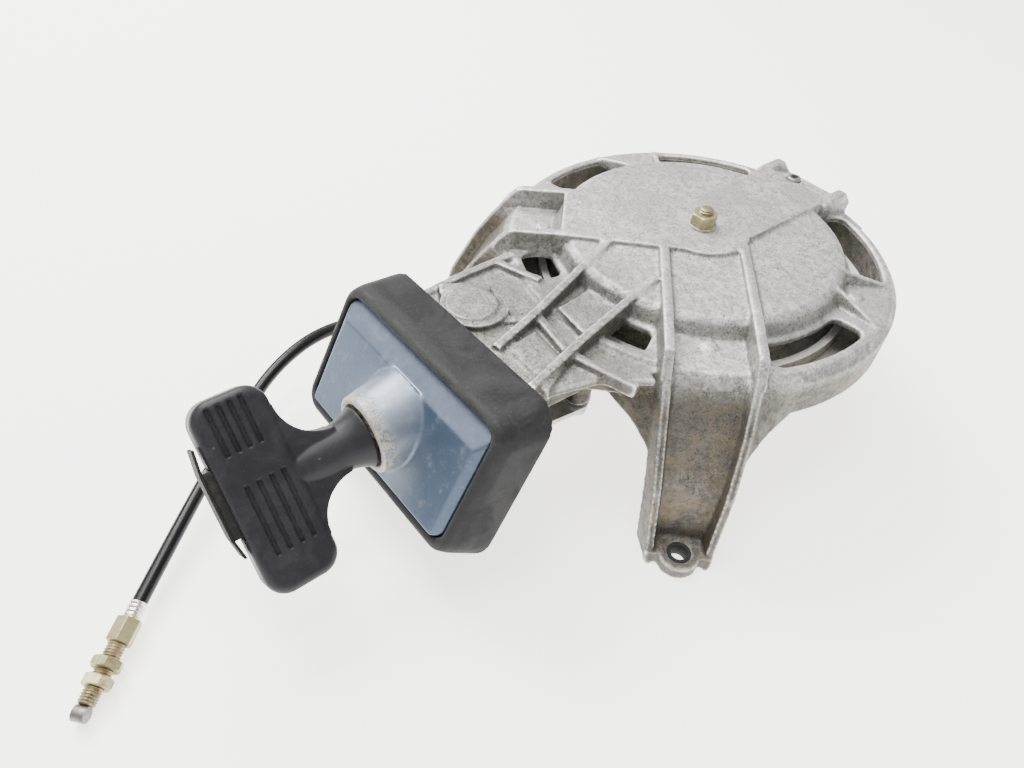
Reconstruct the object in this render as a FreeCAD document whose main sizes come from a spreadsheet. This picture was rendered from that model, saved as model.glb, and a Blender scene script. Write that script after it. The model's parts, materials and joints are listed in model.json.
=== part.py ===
import FreeCAD, Part
import Sketcher
import math
import os
import re

from FreeCAD import Placement, Rotation, Vector

# Recoil starter with an interlock cable.
# Origin: the crank axis, in the plane of the three feet.  +Z is up, and the pull handle points to -Y.
# Millimetres.  Every driving size is a cell of the sheet "sizes".

SIZES = {
    # cast case
    "rim_radius": 110, "rim_wall": 4, "rim_low": 64, "flange_top": 90, "flange_thick": 4,
    "dome_radius": 77.7, "dome_top": 99.5, "dome_foot": 82, "dome_thick": 4,
    "rib_top": 102.5, "rib_offset": 21.6, "rib_wide": 5, "rib_knee": 104, "plateau_radius": 24,
    "slot_inner": 84.5, "slot_outer": 101.5, "slot_corner": 5,
    "pip_circle": 87.5, "pip_radius": 3.9, "pip_tall": 1.5,
    "hub_radius": 13, "hub_low": 88.4, "shaft_hole": 4.3,
    "leg_circle": 150, "foot_hole": 5.6, "foot_boss": 10.5, "foot_thick": 8,
    # neck of the case
    "neck_left": -53, "neck_right": 38, "neck_top": 88, "neck_thick": 4, "neck_wall": 4.5,
    "window_low": 50, "window_high": 84,
    # shaft and fasteners
    "shaft_radius": 4, "shaft_low": 42, "shaft_high": 113, "head_flats": 13, "head_tall": 5.3,
    "nut_flats": 13, "nut_tall": 6.5, "nut_seat": 102.6, "washer_radius": 12, "washer_thick": 1.6,
    "sleeve_radius": 8, "sleeve_low": 50, "sleeve_high": 88.3,
    # drum
    "drum_bore": 8.06, "drum_hub": 14, "drum_radius": 102, "groove_low": 59, "groove_high": 66,
    "groove_root": 84, "flange_low": 56, "web_low": 62, "ring_inner": 88, "ring_high": 76,
    "lip_inner": 98, "lip_high": 72, "cup_inner": 70, "cup_outer": 73, "cup_high": 90.5,
    "notch_depth": 6.5, "notch_wide": 13, "notch_count": 6,
    # rope, roller and handle line
    "rope_radius": 2.75, "rope_high": 62.5, "wrap_radius": 93, "winding_radius": 89.9,
    "pull_x": -7.8, "knot_y": -280.2,
    "roller_y": -134, "roller_turn": 14.2, "roller_bore": 3.05, "roller_pin": 3,
    # face plate and seal
    "plate_x": -9.8, "plate_y": -197.8, "plate_z": 66.8, "plate_tilt": 28.5, "plate_wide": 113,
    "plate_high": 59.6, "plate_thick": 9, "plate_corner": 6,
    "mouth_y": -214, "mouth_radius": 19, "mouth_bore": 16, "mouth_floor": -204,
    "seal_gap": 0.35, "screw_radius": 91, "screw_bearing": 92.6, "screw_seat": 98.4,
    # grip
    "grip_y": -264, "grip_twist": 48.8, "grip_upper": -43.5, "grip_lower": 46, "grip_front": -15.5,
    "grip_back": 18, "grip_corner": 10, "grip_thick": 18.5, "stem_radius": 11, "crook_radius": 20,
    "groove_wide": 2.2, "grip_bore": 3.1,
    # pawls and friction plate
    "pawl_circle": 48, "pawl_low": 52, "pawl_thick": 5,
    # interlock lever
    "lever_x": 30, "lever_y": -114, "lever_low": 56, "lever_thick": 3, "wire_y": -154, "wire_z": 52,
    # cable
    "cable_radius": 3.5, "end_pitch": 5, "end_turn": -48.5, "coupler_flats": 10, "coupler_long": 10.8,
    "thread_radius": 4, "sleeve_long": 26.2, "jam_flats": 12, "jam_tall": 4.5, "nipple_radius": 3.3,
}

LEG_ANGLES = (315, 225, 90)
SLOTS = ((333, 7), (34, 73), (111, 146), (168, 195), (241, 255), (279, 297))
SPOKES = (22.5, 157.5)

# Outline of a leg, from its root to its sole: height, outer edge of the side ribs,
# outer face of the web, half width of the channel's outside.
LEG_SECTIONS = (
    (89.8, 113.6, 103.0, 24.3),
    (82, 119.6, 110.5, 23.6),
    (69, 128.5, 120.5, 22.8),
    (42, 142.5, 134.8, 20.6),
    (20, 148.0, 139.4, 19.0),
    (0, 154.0, 141.0, 17.4),
)
LEG_WALL = 5.2
LEG_FLARE = 2.6
LEG_DRAFT = 1.6
WEB_THICK = 4.6
FOOT_REACH = 152.5

# The casting is kept as five solids that meet on these lines: the bearings round each outer part,
# and the radius that each one starts at.
CASTING_PARTS = (
    ("case_neck", 241.5, 300, 105.5),
    ("case_leg_front", 300, 30, 110.5),
    ("case_leg_left", 150, 241.5, 110.5),
    ("case_leg_rear", 30, 150, 110.5),
)

# Outside of the rubber seal, from its lip to its back edge, in the face plate's frame:
# half width, half height, corner radius, height off the plate, shift along the plate.
SEAL_OUTSIDE = (
    (59.0, 33.2, 8, -1.8, -0.8),
    (61.5, 36.0, 10, -3.6, -0.9),
    (64.0, 38.5, 13, -9.0, -0.5),
    (66.0, 45.0, 15, -29.0, 1.0),
)

# Route of the cable's outer, from the gland on the case to the crimped ferrule.
CABLE_END = (-22.5, -324.5, 9.5)
CABLE_ROUTE = (
    (-58.0, -154.0, 52.0),
    (-90.0, -157.0, 49.0),
    (-112.0, -182.0, 36.0),
    (-110.0, -213.0, 26.0),
    (-92.0, -242.0, 19.5),
    (-57.6, -284.7, 14.1),
    CABLE_END,
)
# Where the jam nuts start, along the cable's end from the ferrule's near face.
JAM_NUT_SPOTS = (25.8, 33.3)

doc = FreeCAD.newDocument("recoil_starter")
sheet = doc.addObject("Spreadsheet::Sheet", "sizes")
for row, (alias, number) in enumerate(SIZES.items(), start=1):
    sheet.set("A%d" % row, alias)
    sheet.set("B%d" % row, str(number))
    sheet.setAlias("B%d" % row, alias)
doc.recompute()

nodes = []


def size(name):
    """The sheet's value of one driving size."""
    return float(sheet.get(name))


def bound(text):
    """Turn sheet aliases in an expression into references to the sheet."""
    return re.sub(r"[a-z][a-z_]+", lambda m: "sizes." + m.group() if m.group() in SIZES else m.group(), text)


def bind(thing, prop, text):
    """Bind a property to an expression of sheet aliases."""
    thing.setExpression(prop, bound(text))


def keep(thing, name):
    """Name a finished sub-part and put it on the list of nodes."""
    thing.Label = name
    nodes.append(thing)
    return thing


def new_body(name, position=(0, 0, 0), rotation=None):
    body = doc.addObject("PartDesign::Body", name)
    body.Placement = Placement(Vector(*position), rotation or Rotation())
    return body


def new_sketch(body, name, role, lift=None, turn=None):
    """A sketch on one of the body's own origin planes."""
    sketch = body.newObject("Sketcher::SketchObject", name)
    plane = [f for f in body.Origin.OriginFeatures if f.Role == role][0]
    sketch.AttachmentSupport = [(plane, "")]
    sketch.MapMode = "FlatFace"
    if turn is not None:
        sketch.AttachmentOffset = Placement(Vector(), turn)
    if lift is not None:
        bind(sketch, "AttachmentOffset.Base.z", lift)
    return sketch


def outline(sketch, points):
    """Close a polygon whose corners are held at expressions of the sheet."""
    flat = [Vector(*(sheet.evalExpression(bound(c)) for c in p), 0) for p in points]
    first = sketch.GeometryCount
    for k, start in enumerate(flat):
        sketch.addGeometry(Part.LineSegment(start, flat[(k + 1) % len(flat)]), False)
    for k in range(len(flat)):
        after = first + (k + 1) % len(flat)
        sketch.addConstraint(Sketcher.Constraint("Coincident", first + k, 2, after, 1))
    for k, point in enumerate(points):
        for kind, text, value in (("DistanceX", point[0], flat[k].x), ("DistanceY", point[1], flat[k].y)):
            if abs(value) < 1e-9:
                on_axis = -2 if kind == "DistanceX" else -1
                sketch.addConstraint(Sketcher.Constraint("PointOnObject", first + k, 1, on_axis))
                continue
            held = sketch.addConstraint(Sketcher.Constraint(kind, -1, 1, first + k, 1, value))
            sketch.setExpression("Constraints[%d]" % held, bound(text))


def ring(sketch, x, y, radius):
    """A circle whose centre and radius are held at expressions of the sheet."""
    centre = Vector(sheet.evalExpression(bound(x)), sheet.evalExpression(bound(y)), 0)
    reach = sheet.evalExpression(bound(radius))
    held = sketch.addGeometry(Part.Circle(centre, Vector(0, 0, 1), reach), False)
    limit = sketch.addConstraint(Sketcher.Constraint("Radius", held, reach))
    sketch.setExpression("Constraints[%d]" % limit, bound(radius))
    for kind, text, value, axis in (("DistanceX", x, centre.x, -2), ("DistanceY", y, centre.y, -1)):
        if abs(value) < 1e-9:
            sketch.addConstraint(Sketcher.Constraint("PointOnObject", held, 3, axis))
        else:
            limit = sketch.addConstraint(Sketcher.Constraint(kind, -1, 1, held, 3, value))
            sketch.setExpression("Constraints[%d]" % limit, bound(text))


def hexagon(sketch, x, y, flats):
    """Six sides about a centre, two of them parallel to the sketch's X axis."""
    corners = []
    for k in range(6):
        reach = "(%s) / sqrt(3)" % flats
        corners.append(("%s + %s * cos(%d)" % (x, reach, 60 * k), "%s + %s * sin(%d)" % (y, reach, 60 * k)))
    outline(sketch, corners)


def revolved(name, points, position=(0, 0, 0), rotation=None):
    """A body turned about its own Z axis from an outline of (radius, height)."""
    body = new_body(name, position, rotation)
    sketch = new_sketch(body, name + "_outline", "XZ_Plane")
    outline(sketch, points)
    turned = body.newObject("PartDesign::Revolution", name + "_turned")
    turned.Profile = sketch
    turned.ReferenceAxis = (sketch, ["V_Axis"])
    turned.Angle = 360
    return body


def padded(name, draw, length, position=(0, 0, 0), rotation=None, lift=None):
    """A body raised along its own Z axis from a sketch that draw fills in."""
    body = new_body(name, position, rotation)
    sketch = new_sketch(body, name + "_outline", "XY_Plane", lift)
    draw(sketch)
    pad = body.newObject("PartDesign::Pad", name + "_pad")
    pad.Profile = sketch
    bind(pad, "Length", length)
    return body


def pocket(body, name, draw, length, lift=None):
    """Cut a pocket upwards from a sketch on the body's XY plane, and check that it took metal away."""
    sketch = new_sketch(body, name + "_outline", "XY_Plane", lift)
    draw(sketch)
    doc.recompute()
    before = body.Shape.Volume
    cut = body.newObject("PartDesign::Pocket", name)
    cut.Profile = sketch
    cut.Reversed = True
    bind(cut, "Length", length)
    doc.recompute()
    assert body.Shape.Volume < before - 1e-3, "%s cuts nothing" % name
    return cut


def feature(name, shape, position=(0, 0, 0), rotation=None):
    """A plain feature whose shape is made from the sheet's sizes."""
    thing = doc.addObject("Part::Feature", name)
    thing.Shape = shape
    thing.Placement = Placement(Vector(*position), rotation or Rotation())
    return thing


def box_between(low, high):
    return Part.makeBox(high[0] - low[0], high[1] - low[1], high[2] - low[2], Vector(*low))


def polygon_face(points):
    corners = [Vector(*p) for p in points]
    return Part.Face(Part.makePolygon(corners + corners[:1]))


def polar(radius, degrees):
    return radius * math.cos(math.radians(degrees)), radius * math.sin(math.radians(degrees))


def rod(start, end, radius):
    run = Vector(*end) - Vector(*start)
    return Part.makeCylinder(radius, run.Length, Vector(*start), run)


def drafted_rib(start, end, low, top_start, top_end, wide, draft=1.2):
    """A rib with sloping sides and a sloping top, from one plan point to another."""
    along = Vector(end[0] - start[0], end[1] - start[1], 0)
    across = Vector(-along.y, along.x, 0).normalize()
    rails = []
    for heights, half in (((low, low), wide / 2 + draft), ((top_start, top_end), wide / 2)):
        ends = (Vector(start[0], start[1], heights[0]), Vector(end[0], end[1], heights[1]))
        corners = [ends[0] - across * half, ends[1] - across * half,
                   ends[1] + across * half, ends[0] + across * half]
        rails.append(Part.makePolygon(corners + corners[:1]))
    return Part.makeLoft(rails, True, True)


def ring_sector(inner, outer, start, stop, low, high):
    """Part of a flat ring, from one bearing to another, counted anticlockwise."""
    sweep = (stop - start) % 360
    whole = Part.makeCylinder(outer, high - low, Vector(0, 0, low), Vector(0, 0, 1), sweep)
    whole = whole.cut(Part.makeCylinder(inner, high - low, Vector(0, 0, low)))
    whole.rotate(Vector(), Vector(0, 0, 1), start)
    return whole


def slot_cutter(start, stop):
    """A curved slot through the flange, with round corners."""
    sector = ring_sector(size("slot_inner"), size("slot_outer"), start, stop, 80, 98)
    upright = [e for e in sector.Edges if e.BoundBox.ZLength > 17]
    return sector.makeFillet(size("slot_corner"), upright)


def turned_to(shape, degrees):
    shape.rotate(Vector(), Vector(0, 0, 1), degrees)
    return shape


# ---------------------------------------------------------------- cast case

def case_shell():
    """Dome, slotted flange and rim as one turned shell."""
    return revolved("case_shell", [
        ("0", "dome_top"), ("dome_radius - 2.5", "dome_top"), ("dome_radius + 1", "dome_top - 2.5"),
        ("dome_foot", "flange_top"), ("rim_radius - 4.5", "flange_top"), ("rim_radius", "flange_top - 5"),
        ("rim_radius", "rim_low"), ("rim_radius - rim_wall", "rim_low"),
        ("rim_radius - rim_wall", "flange_top - flange_thick"),
        ("dome_foot - 3.5", "flange_top - flange_thick"),
        ("dome_radius - 2.5", "dome_top - dome_thick"), ("0", "dome_top - dome_thick")])


def leg_channel():
    """One leg along +X: a tapering channel with a flat foot, lofted between level sections."""
    sections = []
    for high, ribs, web, half in LEG_SECTIONS:
        inside = web - WEB_THICK
        back = half + LEG_FLARE
        crest = half - LEG_DRAFT
        groove = half - LEG_WALL
        sections.append([
            (inside, -back, high), (inside, back, high), (ribs, crest, high), (ribs, groove, high),
            (web, groove - 0.8, high), (web, 0.8 - groove, high),
            (ribs, -groove, high), (ribs, -crest, high)])
    pieces = []
    for above, below in zip(sections, sections[1:]):
        wires = [Part.makePolygon([Vector(*p) for p in s + s[:1]]) for s in (above, below)]
        pieces.append(Part.makeLoft(wires, True, True))
    shape = pieces[0].fuse(pieces[1:])
    thick = size("foot_thick")
    shape = shape.fuse(box_between((136.4, -17, 0), (FOOT_REACH, 17, thick)))
    shape = shape.fuse(Part.makeCylinder(size("foot_boss"), thick, Vector(size("leg_circle"), 0, 0)))
    return shape.cut(Part.makeCylinder(size("foot_hole"), 20, Vector(size("leg_circle"), 0, -1)))


def leg_wing(side):
    """The curved gusset that joins the rim to one side of a leg along +X."""
    stations = (
        (17.0, 110.0, 88.0, 133.0, 46.0),
        (24.0, 107.4, 88.0, 126.0, 54.0),
        (32.0, 105.4, 88.0, 115.0, 60.0),
        (44.0, 100.9, 88.0, 101.5, 63.5),
    )
    wires = []
    for across, top_r, top_z, low_r, low_z in stations:
        y = side * across
        corners = [Vector(top_r, y, top_z), Vector(low_r, y, low_z),
                   Vector(low_r - 4, y, low_z), Vector(top_r - 4, y, top_z)]
        wires.append(Part.makePolygon(corners + corners[:1]))
    return Part.makeLoft(wires, True, True)


def case_legs():
    shapes = []
    for bearing in LEG_ANGLES:
        parts = [leg_channel(), leg_wing(1), leg_wing(-1)]
        shapes += [turned_to(part, bearing) for part in parts]
    return shapes


def channel_ribs(inner, outer_top):
    """The pair of ribs that runs along a leg's channel over the dome and the flange."""
    offset = size("rib_offset")
    top = size("rib_top")
    knee = size("rib_knee")
    dome = size("dome_radius")
    wide = size("rib_wide")
    shapes = []
    for side in (-offset, offset):
        over_dome = drafted_rib((inner, side), (dome, side), 95, top, top, wide)
        to_knee = drafted_rib((dome - 3, side), (knee, side), 87, top, outer_top, wide)
        profile = polygon_face([
            (knee - 3, side - 2.5, 87), (knee - 3, side - 2.5, outer_top), (knee, side - 2.5, outer_top),
            (111.5, side - 2.5, 93), (113.5, side - 2.5, 89), (109, side - 2.5, 84)])
        shapes += [over_dome, to_knee, profile.extrude(Vector(0, 5, 0))]
    return shapes


def case_ribs():
    """Ribs over the front and left legs, the raised bands and the plateau round the nut."""
    top = size("rib_top")
    dome = size("dome_radius")
    plateau = size("plateau_radius")
    shapes = [Part.makeCone(plateau + 4, plateau + 2.5, top - 96, Vector(0, 0, 96))]
    shapes += [turned_to(s, LEG_ANGLES[0]) for s in channel_ribs(14, top - 1.5)]
    shapes += [turned_to(s, LEG_ANGLES[1]) for s in channel_ribs(14, top - 1.5)]
    band = drafted_rib((0, 0), (dome - 0.5, 0), 96, top, top, 2 * size("rib_offset") + 5, 1.6)
    shapes.append(turned_to(band, LEG_ANGLES[1]))
    shapes.append(turned_to(drafted_rib((0, 0), (88, 0), 87, top, top - 1.5, 46, 2), LEG_ANGLES[2]))
    shapes.append(turned_to(drafted_rib((86, 0), (109, 0), 86, top - 1.5, top - 9, 40, 4), LEG_ANGLES[2]))
    for side in (-22.5, 22.5):
        ear = polygon_face([(80, side - 3.2, 92), (80, side - 3.2, top - 2), (90, side - 3.2, top - 0.5),
                            (103, side - 3.2, top - 1), (112, side - 3.2, 92), (109, side - 3.2, 84)])
        shapes.append(turned_to(ear.extrude(Vector(0, 6.4, 0)), LEG_ANGLES[2]))
    x, y = polar(size("screw_radius"), size("screw_bearing"))
    boss_low = size("screw_seat") - 5
    shapes.append(Part.makeCone(7.8, 6.2, 7, Vector(x, y, boss_low)))
    return shapes


def spoke_fins():
    """Two fins at each spoke, spreading outwards over the flange."""
    shapes = []
    inner_top = size("dome_top") - 0.5
    outer_top = size("flange_top") + 0.3
    for bearing in SPOKES:
        for side in (-1, 1):
            start = polar(76, bearing + side * 6.0)
            end = polar(106, bearing + side * 11.0)
            shapes.append(drafted_rib(start, end, 87, inner_top, outer_top, 2.6, 1.4))
    return shapes


def ejector_pips():
    shapes = []
    for bearing in (315, 22.5, 225, 157.5):
        x, y = polar(size("pip_circle"), bearing)
        tall = size("pip_tall")
        shapes.append(Part.makeCone(size("pip_radius"), size("pip_radius") - 0.5, tall + 1,
                                    Vector(x, y, size("flange_top") - 1)))
    return shapes


def neck_arm():
    """The neck: a ribbed top plate, two side walls and the slanted end flange behind the face plate."""
    left = size("neck_left")
    right = size("neck_right")
    top = size("neck_top")
    low = top - size("neck_thick")
    wall = size("neck_wall")
    plan = polygon_face([
        (left - 2, -92, low), (left, -150, low), (left + 2, -174, low), (right - 2, -174, low),
        (right, -146, low), (right + 8, -119, low), (right + 24, -98, low), (right + 6, -92, low)])
    shapes = [plan.extrude(Vector(0, 0, size("neck_thick")))]
    left_wall = polygon_face([(left, -92, 91), (left, -132, 91), (left, -150, 89.5), (left, -172, 86),
                              (left, -180, 52), (left, -170, 42), (left, -146, 42), (left, -128, 62),
                              (left, -92, 64)])
    shapes.append(left_wall.extrude(Vector(wall, 0, 0)))
    right_wall = polygon_face([(right, -102, 88), (right, -146, 88), (right, -172, 86), (right, -180, 52),
                               (right, -170, 42), (right, -152, 48), (right, -141, 76), (right, -116, 74),
                               (right, -100, 66)])
    shapes.append(right_wall.extrude(Vector(-wall, 0, 0)))
    return shapes


def neck_webs():
    """Gussets that carry the neck's side walls round into the rim."""
    right = size("neck_right")
    arc = Part.makePolygon([Vector(right, -118, 86), Vector(right, -118, 74), Vector(right - 4, -118, 74),
                            Vector(right - 4, -118, 86), Vector(right, -118, 86)])
    bend = Part.makePolygon([Vector(right + 9, -103.5, 88), Vector(right + 9, -103.5, 70),
                             Vector(right + 6, -100, 70), Vector(right + 6, -100, 88),
                             Vector(right + 9, -103.5, 88)])
    rim = Part.makePolygon([Vector(right + 26, -89, 88), Vector(right + 26, -89, 64),
                            Vector(right + 23, -86, 64), Vector(right + 23, -86, 88),
                            Vector(right + 26, -89, 88)])
    return [Part.makeLoft([arc, bend, rim], True, True)]


def neck_ribs():
    """The two long ribs of the neck, their crossing ribs, raised panels and the roller's hood."""
    top = size("neck_top")
    long_left = ((-20, -52), (-3, -116), (3, -146))
    long_right = ((17, -55), (25.5, -112), (33, -150))
    shapes = []
    for path, tops in ((long_left, (102, 95, 91)), (long_right, (102, 95.5, 91))):
        for k in range(2):
            shapes.append(drafted_rib(path[k], path[k + 1], 85, tops[k], tops[k + 1], 4.4))
    for start, end, high in (
            ((-3, -116), (27, -121), 92.5), ((27, -121), (61, -110), 92), ((27, -121), (37, -146), 91),
            ((-3, -116), (-14, -137), 91), ((-24, -96), (-50, -104), 92)):
        shapes.append(drafted_rib(start, end, 85, high, high - 1, 4.2))
    panel = polygon_face([(-4, -72, 86), (-1, -104, 86), (21, -107, 86), (17, -74, 86)])
    shapes.append(panel.extrude(Vector(0, 0, 6)))
    panel = polygon_face([(4, -123, 86), (6, -141, 86), (29, -142, 86), (24, -125, 86)])
    shapes.append(panel.extrude(Vector(0, 0, 3.6)))
    hood = Part.makeCylinder(17.5, 8, Vector(-27, -136, 84))
    hood = hood.common(box_between((-48, -154, 84), (-8, -124, 94)))
    shapes.append(hood)
    shapes.append(Part.makeCylinder(13, 2, Vector(-27, -138, 91.5)))
    shapes.append(drafted_rib((-46, -144), (-33, -122), 85, 93, 93, 7, 2))
    return shapes


def end_flange():
    """The slanted flange at the neck's end, which the face plate is screwed to."""
    shape = Part.makeBox(100, 52, 6, Vector(-50, -26, -size("plate_thick") - 6.2))
    shape.Placement = plate_frame()
    return shape


def under_case():
    """Hub for the shaft, spring anchor post, roller post and lever post, all under the cover."""
    hub = Part.makeCylinder(size("hub_radius"), 96 - size("hub_low"), Vector(0, 0, size("hub_low")))
    roller_x = size("pull_x") - size("roller_turn")
    roller = Part.makeCylinder(6.5, 17, Vector(roller_x, size("roller_y"), 70))
    lever = Part.makeCylinder(6.5, 26, Vector(size("lever_x"), size("lever_y"), 60))
    return [hub, roller, lever]


def plate_frame():
    """Frame of the face plate: X across, Y up its face, Z out of it."""
    spot = Vector(size("plate_x"), size("plate_y"), size("plate_z"))
    return Placement(spot, Rotation(Vector(1, 0, 0), 90 - size("plate_tilt")))


def case_cutters():
    cutters = [Part.makeCylinder(size("shaft_hole"), 40, Vector(0, 0, 80))]
    cutters.append(box_between((size("neck_left") + 4.5, -118, size("window_low")),
                               (size("neck_right") - 4.5, -84, size("window_high"))))
    inner_clear = Part.makeCylinder(size("rim_radius") - size("rim_wall"), 86, Vector(0, 0, 0))
    dome_clear = Part.makeCone(size("dome_foot") - 3.5, size("dome_radius") - 2.5, 9.5, Vector(0, 0, 86))
    roller_x = size("pull_x") - size("roller_turn")
    cutters.append(Part.makeCylinder(size("roller_pin"), 16, Vector(roller_x, size("roller_y"), 69)))
    cutters.append(Part.makeCylinder(2.5, 16, Vector(size("lever_x"), size("lever_y"), 59)))
    pull = size("pull_x")
    high = size("rope_high")
    cutters.append(rod((pull, -150, high), (pull, -215, high), 6))
    cutters.append(rod((-60, size("wire_y"), size("wire_z")), (-40, size("wire_y"), size("wire_z")), 4.6))
    x, y = polar(size("screw_radius"), size("screw_bearing"))
    cutters.append(Part.makeCylinder(2.1, 12, Vector(x, y, size("screw_seat") - 9)))
    cutters.append(Part.makeCylinder(4.4, 12, Vector(x, y, size("screw_seat"))))
    for u, v in plate_screw_spots():
        hole = Part.makeCylinder(2.1, 12, Vector(u, v, -size("plate_thick") - 8))
        hole.Placement = plate_frame()
        cutters.append(hole)
    return cutters, [inner_clear, dome_clear]


def plate_screw_spots():
    return [(sx * 42, sy * 19) for sx in (-1, 1) for sy in (-1, 1)]


def whole_casting():
    """The whole casting: shell, legs, ribs and neck fused, then cut."""
    shell = case_shell()
    doc.recompute()
    cutters, clearances = case_cutters()
    slotted = shell.Shape.copy().fuse(case_legs() + neck_arm() + neck_webs())
    for start, stop in SLOTS:
        slotted = slotted.cut(slot_cutter(start, stop))
    outside = slotted.fuse(case_ribs() + spoke_fins() + ejector_pips() + neck_ribs())
    for clearance in clearances:
        outside = outside.cut(clearance)
    shape = outside.fuse(under_case() + [end_flange()])
    for cutter in cutters:
        shape = shape.cut(cutter)
    return shape.removeSplitter()


def starter_case():
    """The casting as five solids: the cover with its rim, the neck and three legs."""
    whole = whole_casting()
    zones = [(name, ring_sector(start, 260, low, high, -1, 120)) for name, low, high, start in CASTING_PARTS]
    pieces = [("starter_case", whole.cut([zone for name, zone in zones]))]
    pieces += [(name, whole.common(zone)) for name, zone in zones]
    for name, piece in pieces:
        print(name, "solids", [round(solid.Volume, 1) for solid in piece.Solids])
        assert len(piece.Solids) == 1, "%s is in pieces" % name
        keep(feature(name, piece.Solids[0]), name)


# ---------------------------------------------------------------- shaft and fasteners

def foot_collars():
    """Three lined collars in the feet, as one group."""
    rings = []
    foot = size("foot_thick")
    for bearing in LEG_ANGLES:
        x, y = polar(size("leg_circle"), bearing)
        sleeve = Part.makeCylinder(size("foot_hole"), foot + 0.3, Vector(x, y, 0))
        sleeve = sleeve.fuse(Part.makeCylinder(size("foot_hole") + 0.5, 0.3, Vector(x, y, foot)))
        rings.append(sleeve.cut(Part.makeCylinder(4.25, 12, Vector(x, y, -1))))
    return keep(feature("foot_collars", Part.makeCompound(rings)), "foot_collars")


def centre_bolt():
    """The shaft: a long bolt, its hex head below the drum and its thread up through the dome."""
    body = revolved("centre_bolt", [
        ("0", "shaft_low"), ("head_flats / sqrt(3)", "shaft_low"),
        ("head_flats / sqrt(3)", "shaft_low + head_tall"),
        ("shaft_radius", "shaft_low + head_tall"), ("shaft_radius", "shaft_high - 0.8"),
        ("shaft_radius - 0.8", "shaft_high"), ("0", "shaft_high")])
    doc.recompute()

    def flats(sketch):
        hexagon(sketch, "0", "0", "head_flats")
        ring(sketch, "0", "0", "head_flats")

    pocket(body, "bolt_flats", flats, "head_tall + 0.01", "shaft_low - 0.005")
    return keep(body, "centre_bolt")


def drilled_hex(name, flats, bore, tall, position, rotation=None):
    """A hex nut with a plain bore and the corners of its top broken by a cone."""
    def section(sketch):
        hexagon(sketch, "0", "0", flats)
        ring(sketch, "0", "0", bore)

    body = padded(name, section, tall, position, rotation)
    doc.recompute()
    before = body.Shape.Volume
    corner = "(%s) / sqrt(3) + 0.2" % flats
    sketch = new_sketch(body, name + "_corner", "XZ_Plane")
    outline(sketch, [("(%s) * 0.48" % flats, "%s + 0.1" % tall), (corner, "%s + 0.1" % tall),
                     (corner, "%s * 0.82" % tall)])
    groove = body.newObject("PartDesign::Groove", name + "_broken")
    groove.Profile = sketch
    groove.ReferenceAxis = (sketch, ["V_Axis"])
    groove.Angle = 360
    doc.recompute()
    assert body.Shape.Volume < before - 0.1, "%s keeps its corners" % name
    return body


def centre_nut():
    return keep(drilled_hex("centre_nut", "nut_flats", "shaft_radius + 0.05", "nut_tall",
                            (0, 0, size("nut_seat") + 1.3)), "centre_nut")


def washer(name, outer, bore, thick, position, rotation=None):
    def section(sketch):
        ring(sketch, "0", "0", outer)
        ring(sketch, "0", "0", bore)

    return keep(padded(name, section, thick, position, rotation), name)


def shaft_washers():
    washer("nut_washer", "7.6", "shaft_radius + 0.15", "1.3", (0, 0, size("nut_seat")))
    washer("retainer_washer", "washer_radius", "shaft_radius + 0.05", "washer_thick",
           (0, 0, size("shaft_low") + size("head_tall")))


def bearing_sleeve():
    return washer("bearing_sleeve", "sleeve_radius", "shaft_radius + 0.1", "sleeve_high - sleeve_low",
                  (0, 0, size("sleeve_low")))


def socket_screw(name, position, rotation, head, head_tall, shank, length):
    """A cap screw with a hexagon socket; its shank points along -Z of its own frame."""
    body = revolved(name, [
        ("0", "-(%s)" % length), (shank, "-(%s)" % length), (shank, "0"), (head, "0"),
        (head, "%s - 0.6" % head_tall), ("%s - 0.6" % head, head_tall), ("0", head_tall)],
        position, rotation)
    doc.recompute()
    pocket(body, name + "_socket", lambda sketch: hexagon(sketch, "0", "0", "%s * 1.05" % head),
           "%s * 0.6" % head_tall, "%s * 0.42" % head_tall)
    return keep(body, name)


def case_screw():
    x, y = polar(size("screw_radius"), size("screw_bearing"))
    socket_screw("case_screw", (x, y, size("screw_seat")), Rotation(), "4", "3.6", "2", "8")


# ---------------------------------------------------------------- drum and spring

def drum():
    """The rope drum: hub, web, spring cup, rope groove and the notched lower flange."""
    body = revolved("drum", [
        ("drum_bore", "sleeve_low + 0.4"), ("drum_hub", "sleeve_low + 0.4"), ("drum_hub", "web_low"),
        ("groove_root - 4", "web_low"), ("groove_root - 4", "flange_low"), ("drum_radius", "flange_low"),
        ("drum_radius", "groove_low"), ("groove_root", "groove_low"), ("groove_root", "groove_high"),
        ("drum_radius", "groove_high"), ("drum_radius", "lip_high"), ("lip_inner", "lip_high"),
        ("lip_inner", "groove_high + 3"), ("ring_inner", "groove_high + 3"), ("ring_inner", "ring_high"),
        ("groove_root", "ring_high"), ("groove_root", "groove_high + 3"), ("cup_outer", "groove_high + 3"),
        ("cup_outer", "cup_high"), ("cup_inner", "cup_high"), ("cup_inner", "groove_high"),
        ("drum_hub", "groove_high"), ("drum_hub", "sleeve_high - 0.4"), ("drum_bore", "sleeve_high - 0.4")])
    doc.recompute()

    def notch(sketch):
        reach = "drum_radius - notch_depth"
        outline(sketch, [("-notch_wide / 2", "-(%s)" % reach), ("notch_wide / 2", "-(%s)" % reach),
                         ("notch_wide / 2", "-drum_radius - 2"), ("-notch_wide / 2", "-drum_radius - 2")])

    cut = pocket(body, "stop_notch", notch, "groove_low - flange_low + 0.2", "flange_low - 0.1")
    repeat = body.newObject("PartDesign::PolarPattern", "stop_notches")
    repeat.Originals = [cut]
    repeat.Axis = (body.Origin.OriginFeatures[2], [""])
    repeat.Angle = 360
    bind(repeat, "Occurrences", "notch_count")
    body.Tip = repeat
    return keep(body, "drum")


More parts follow.
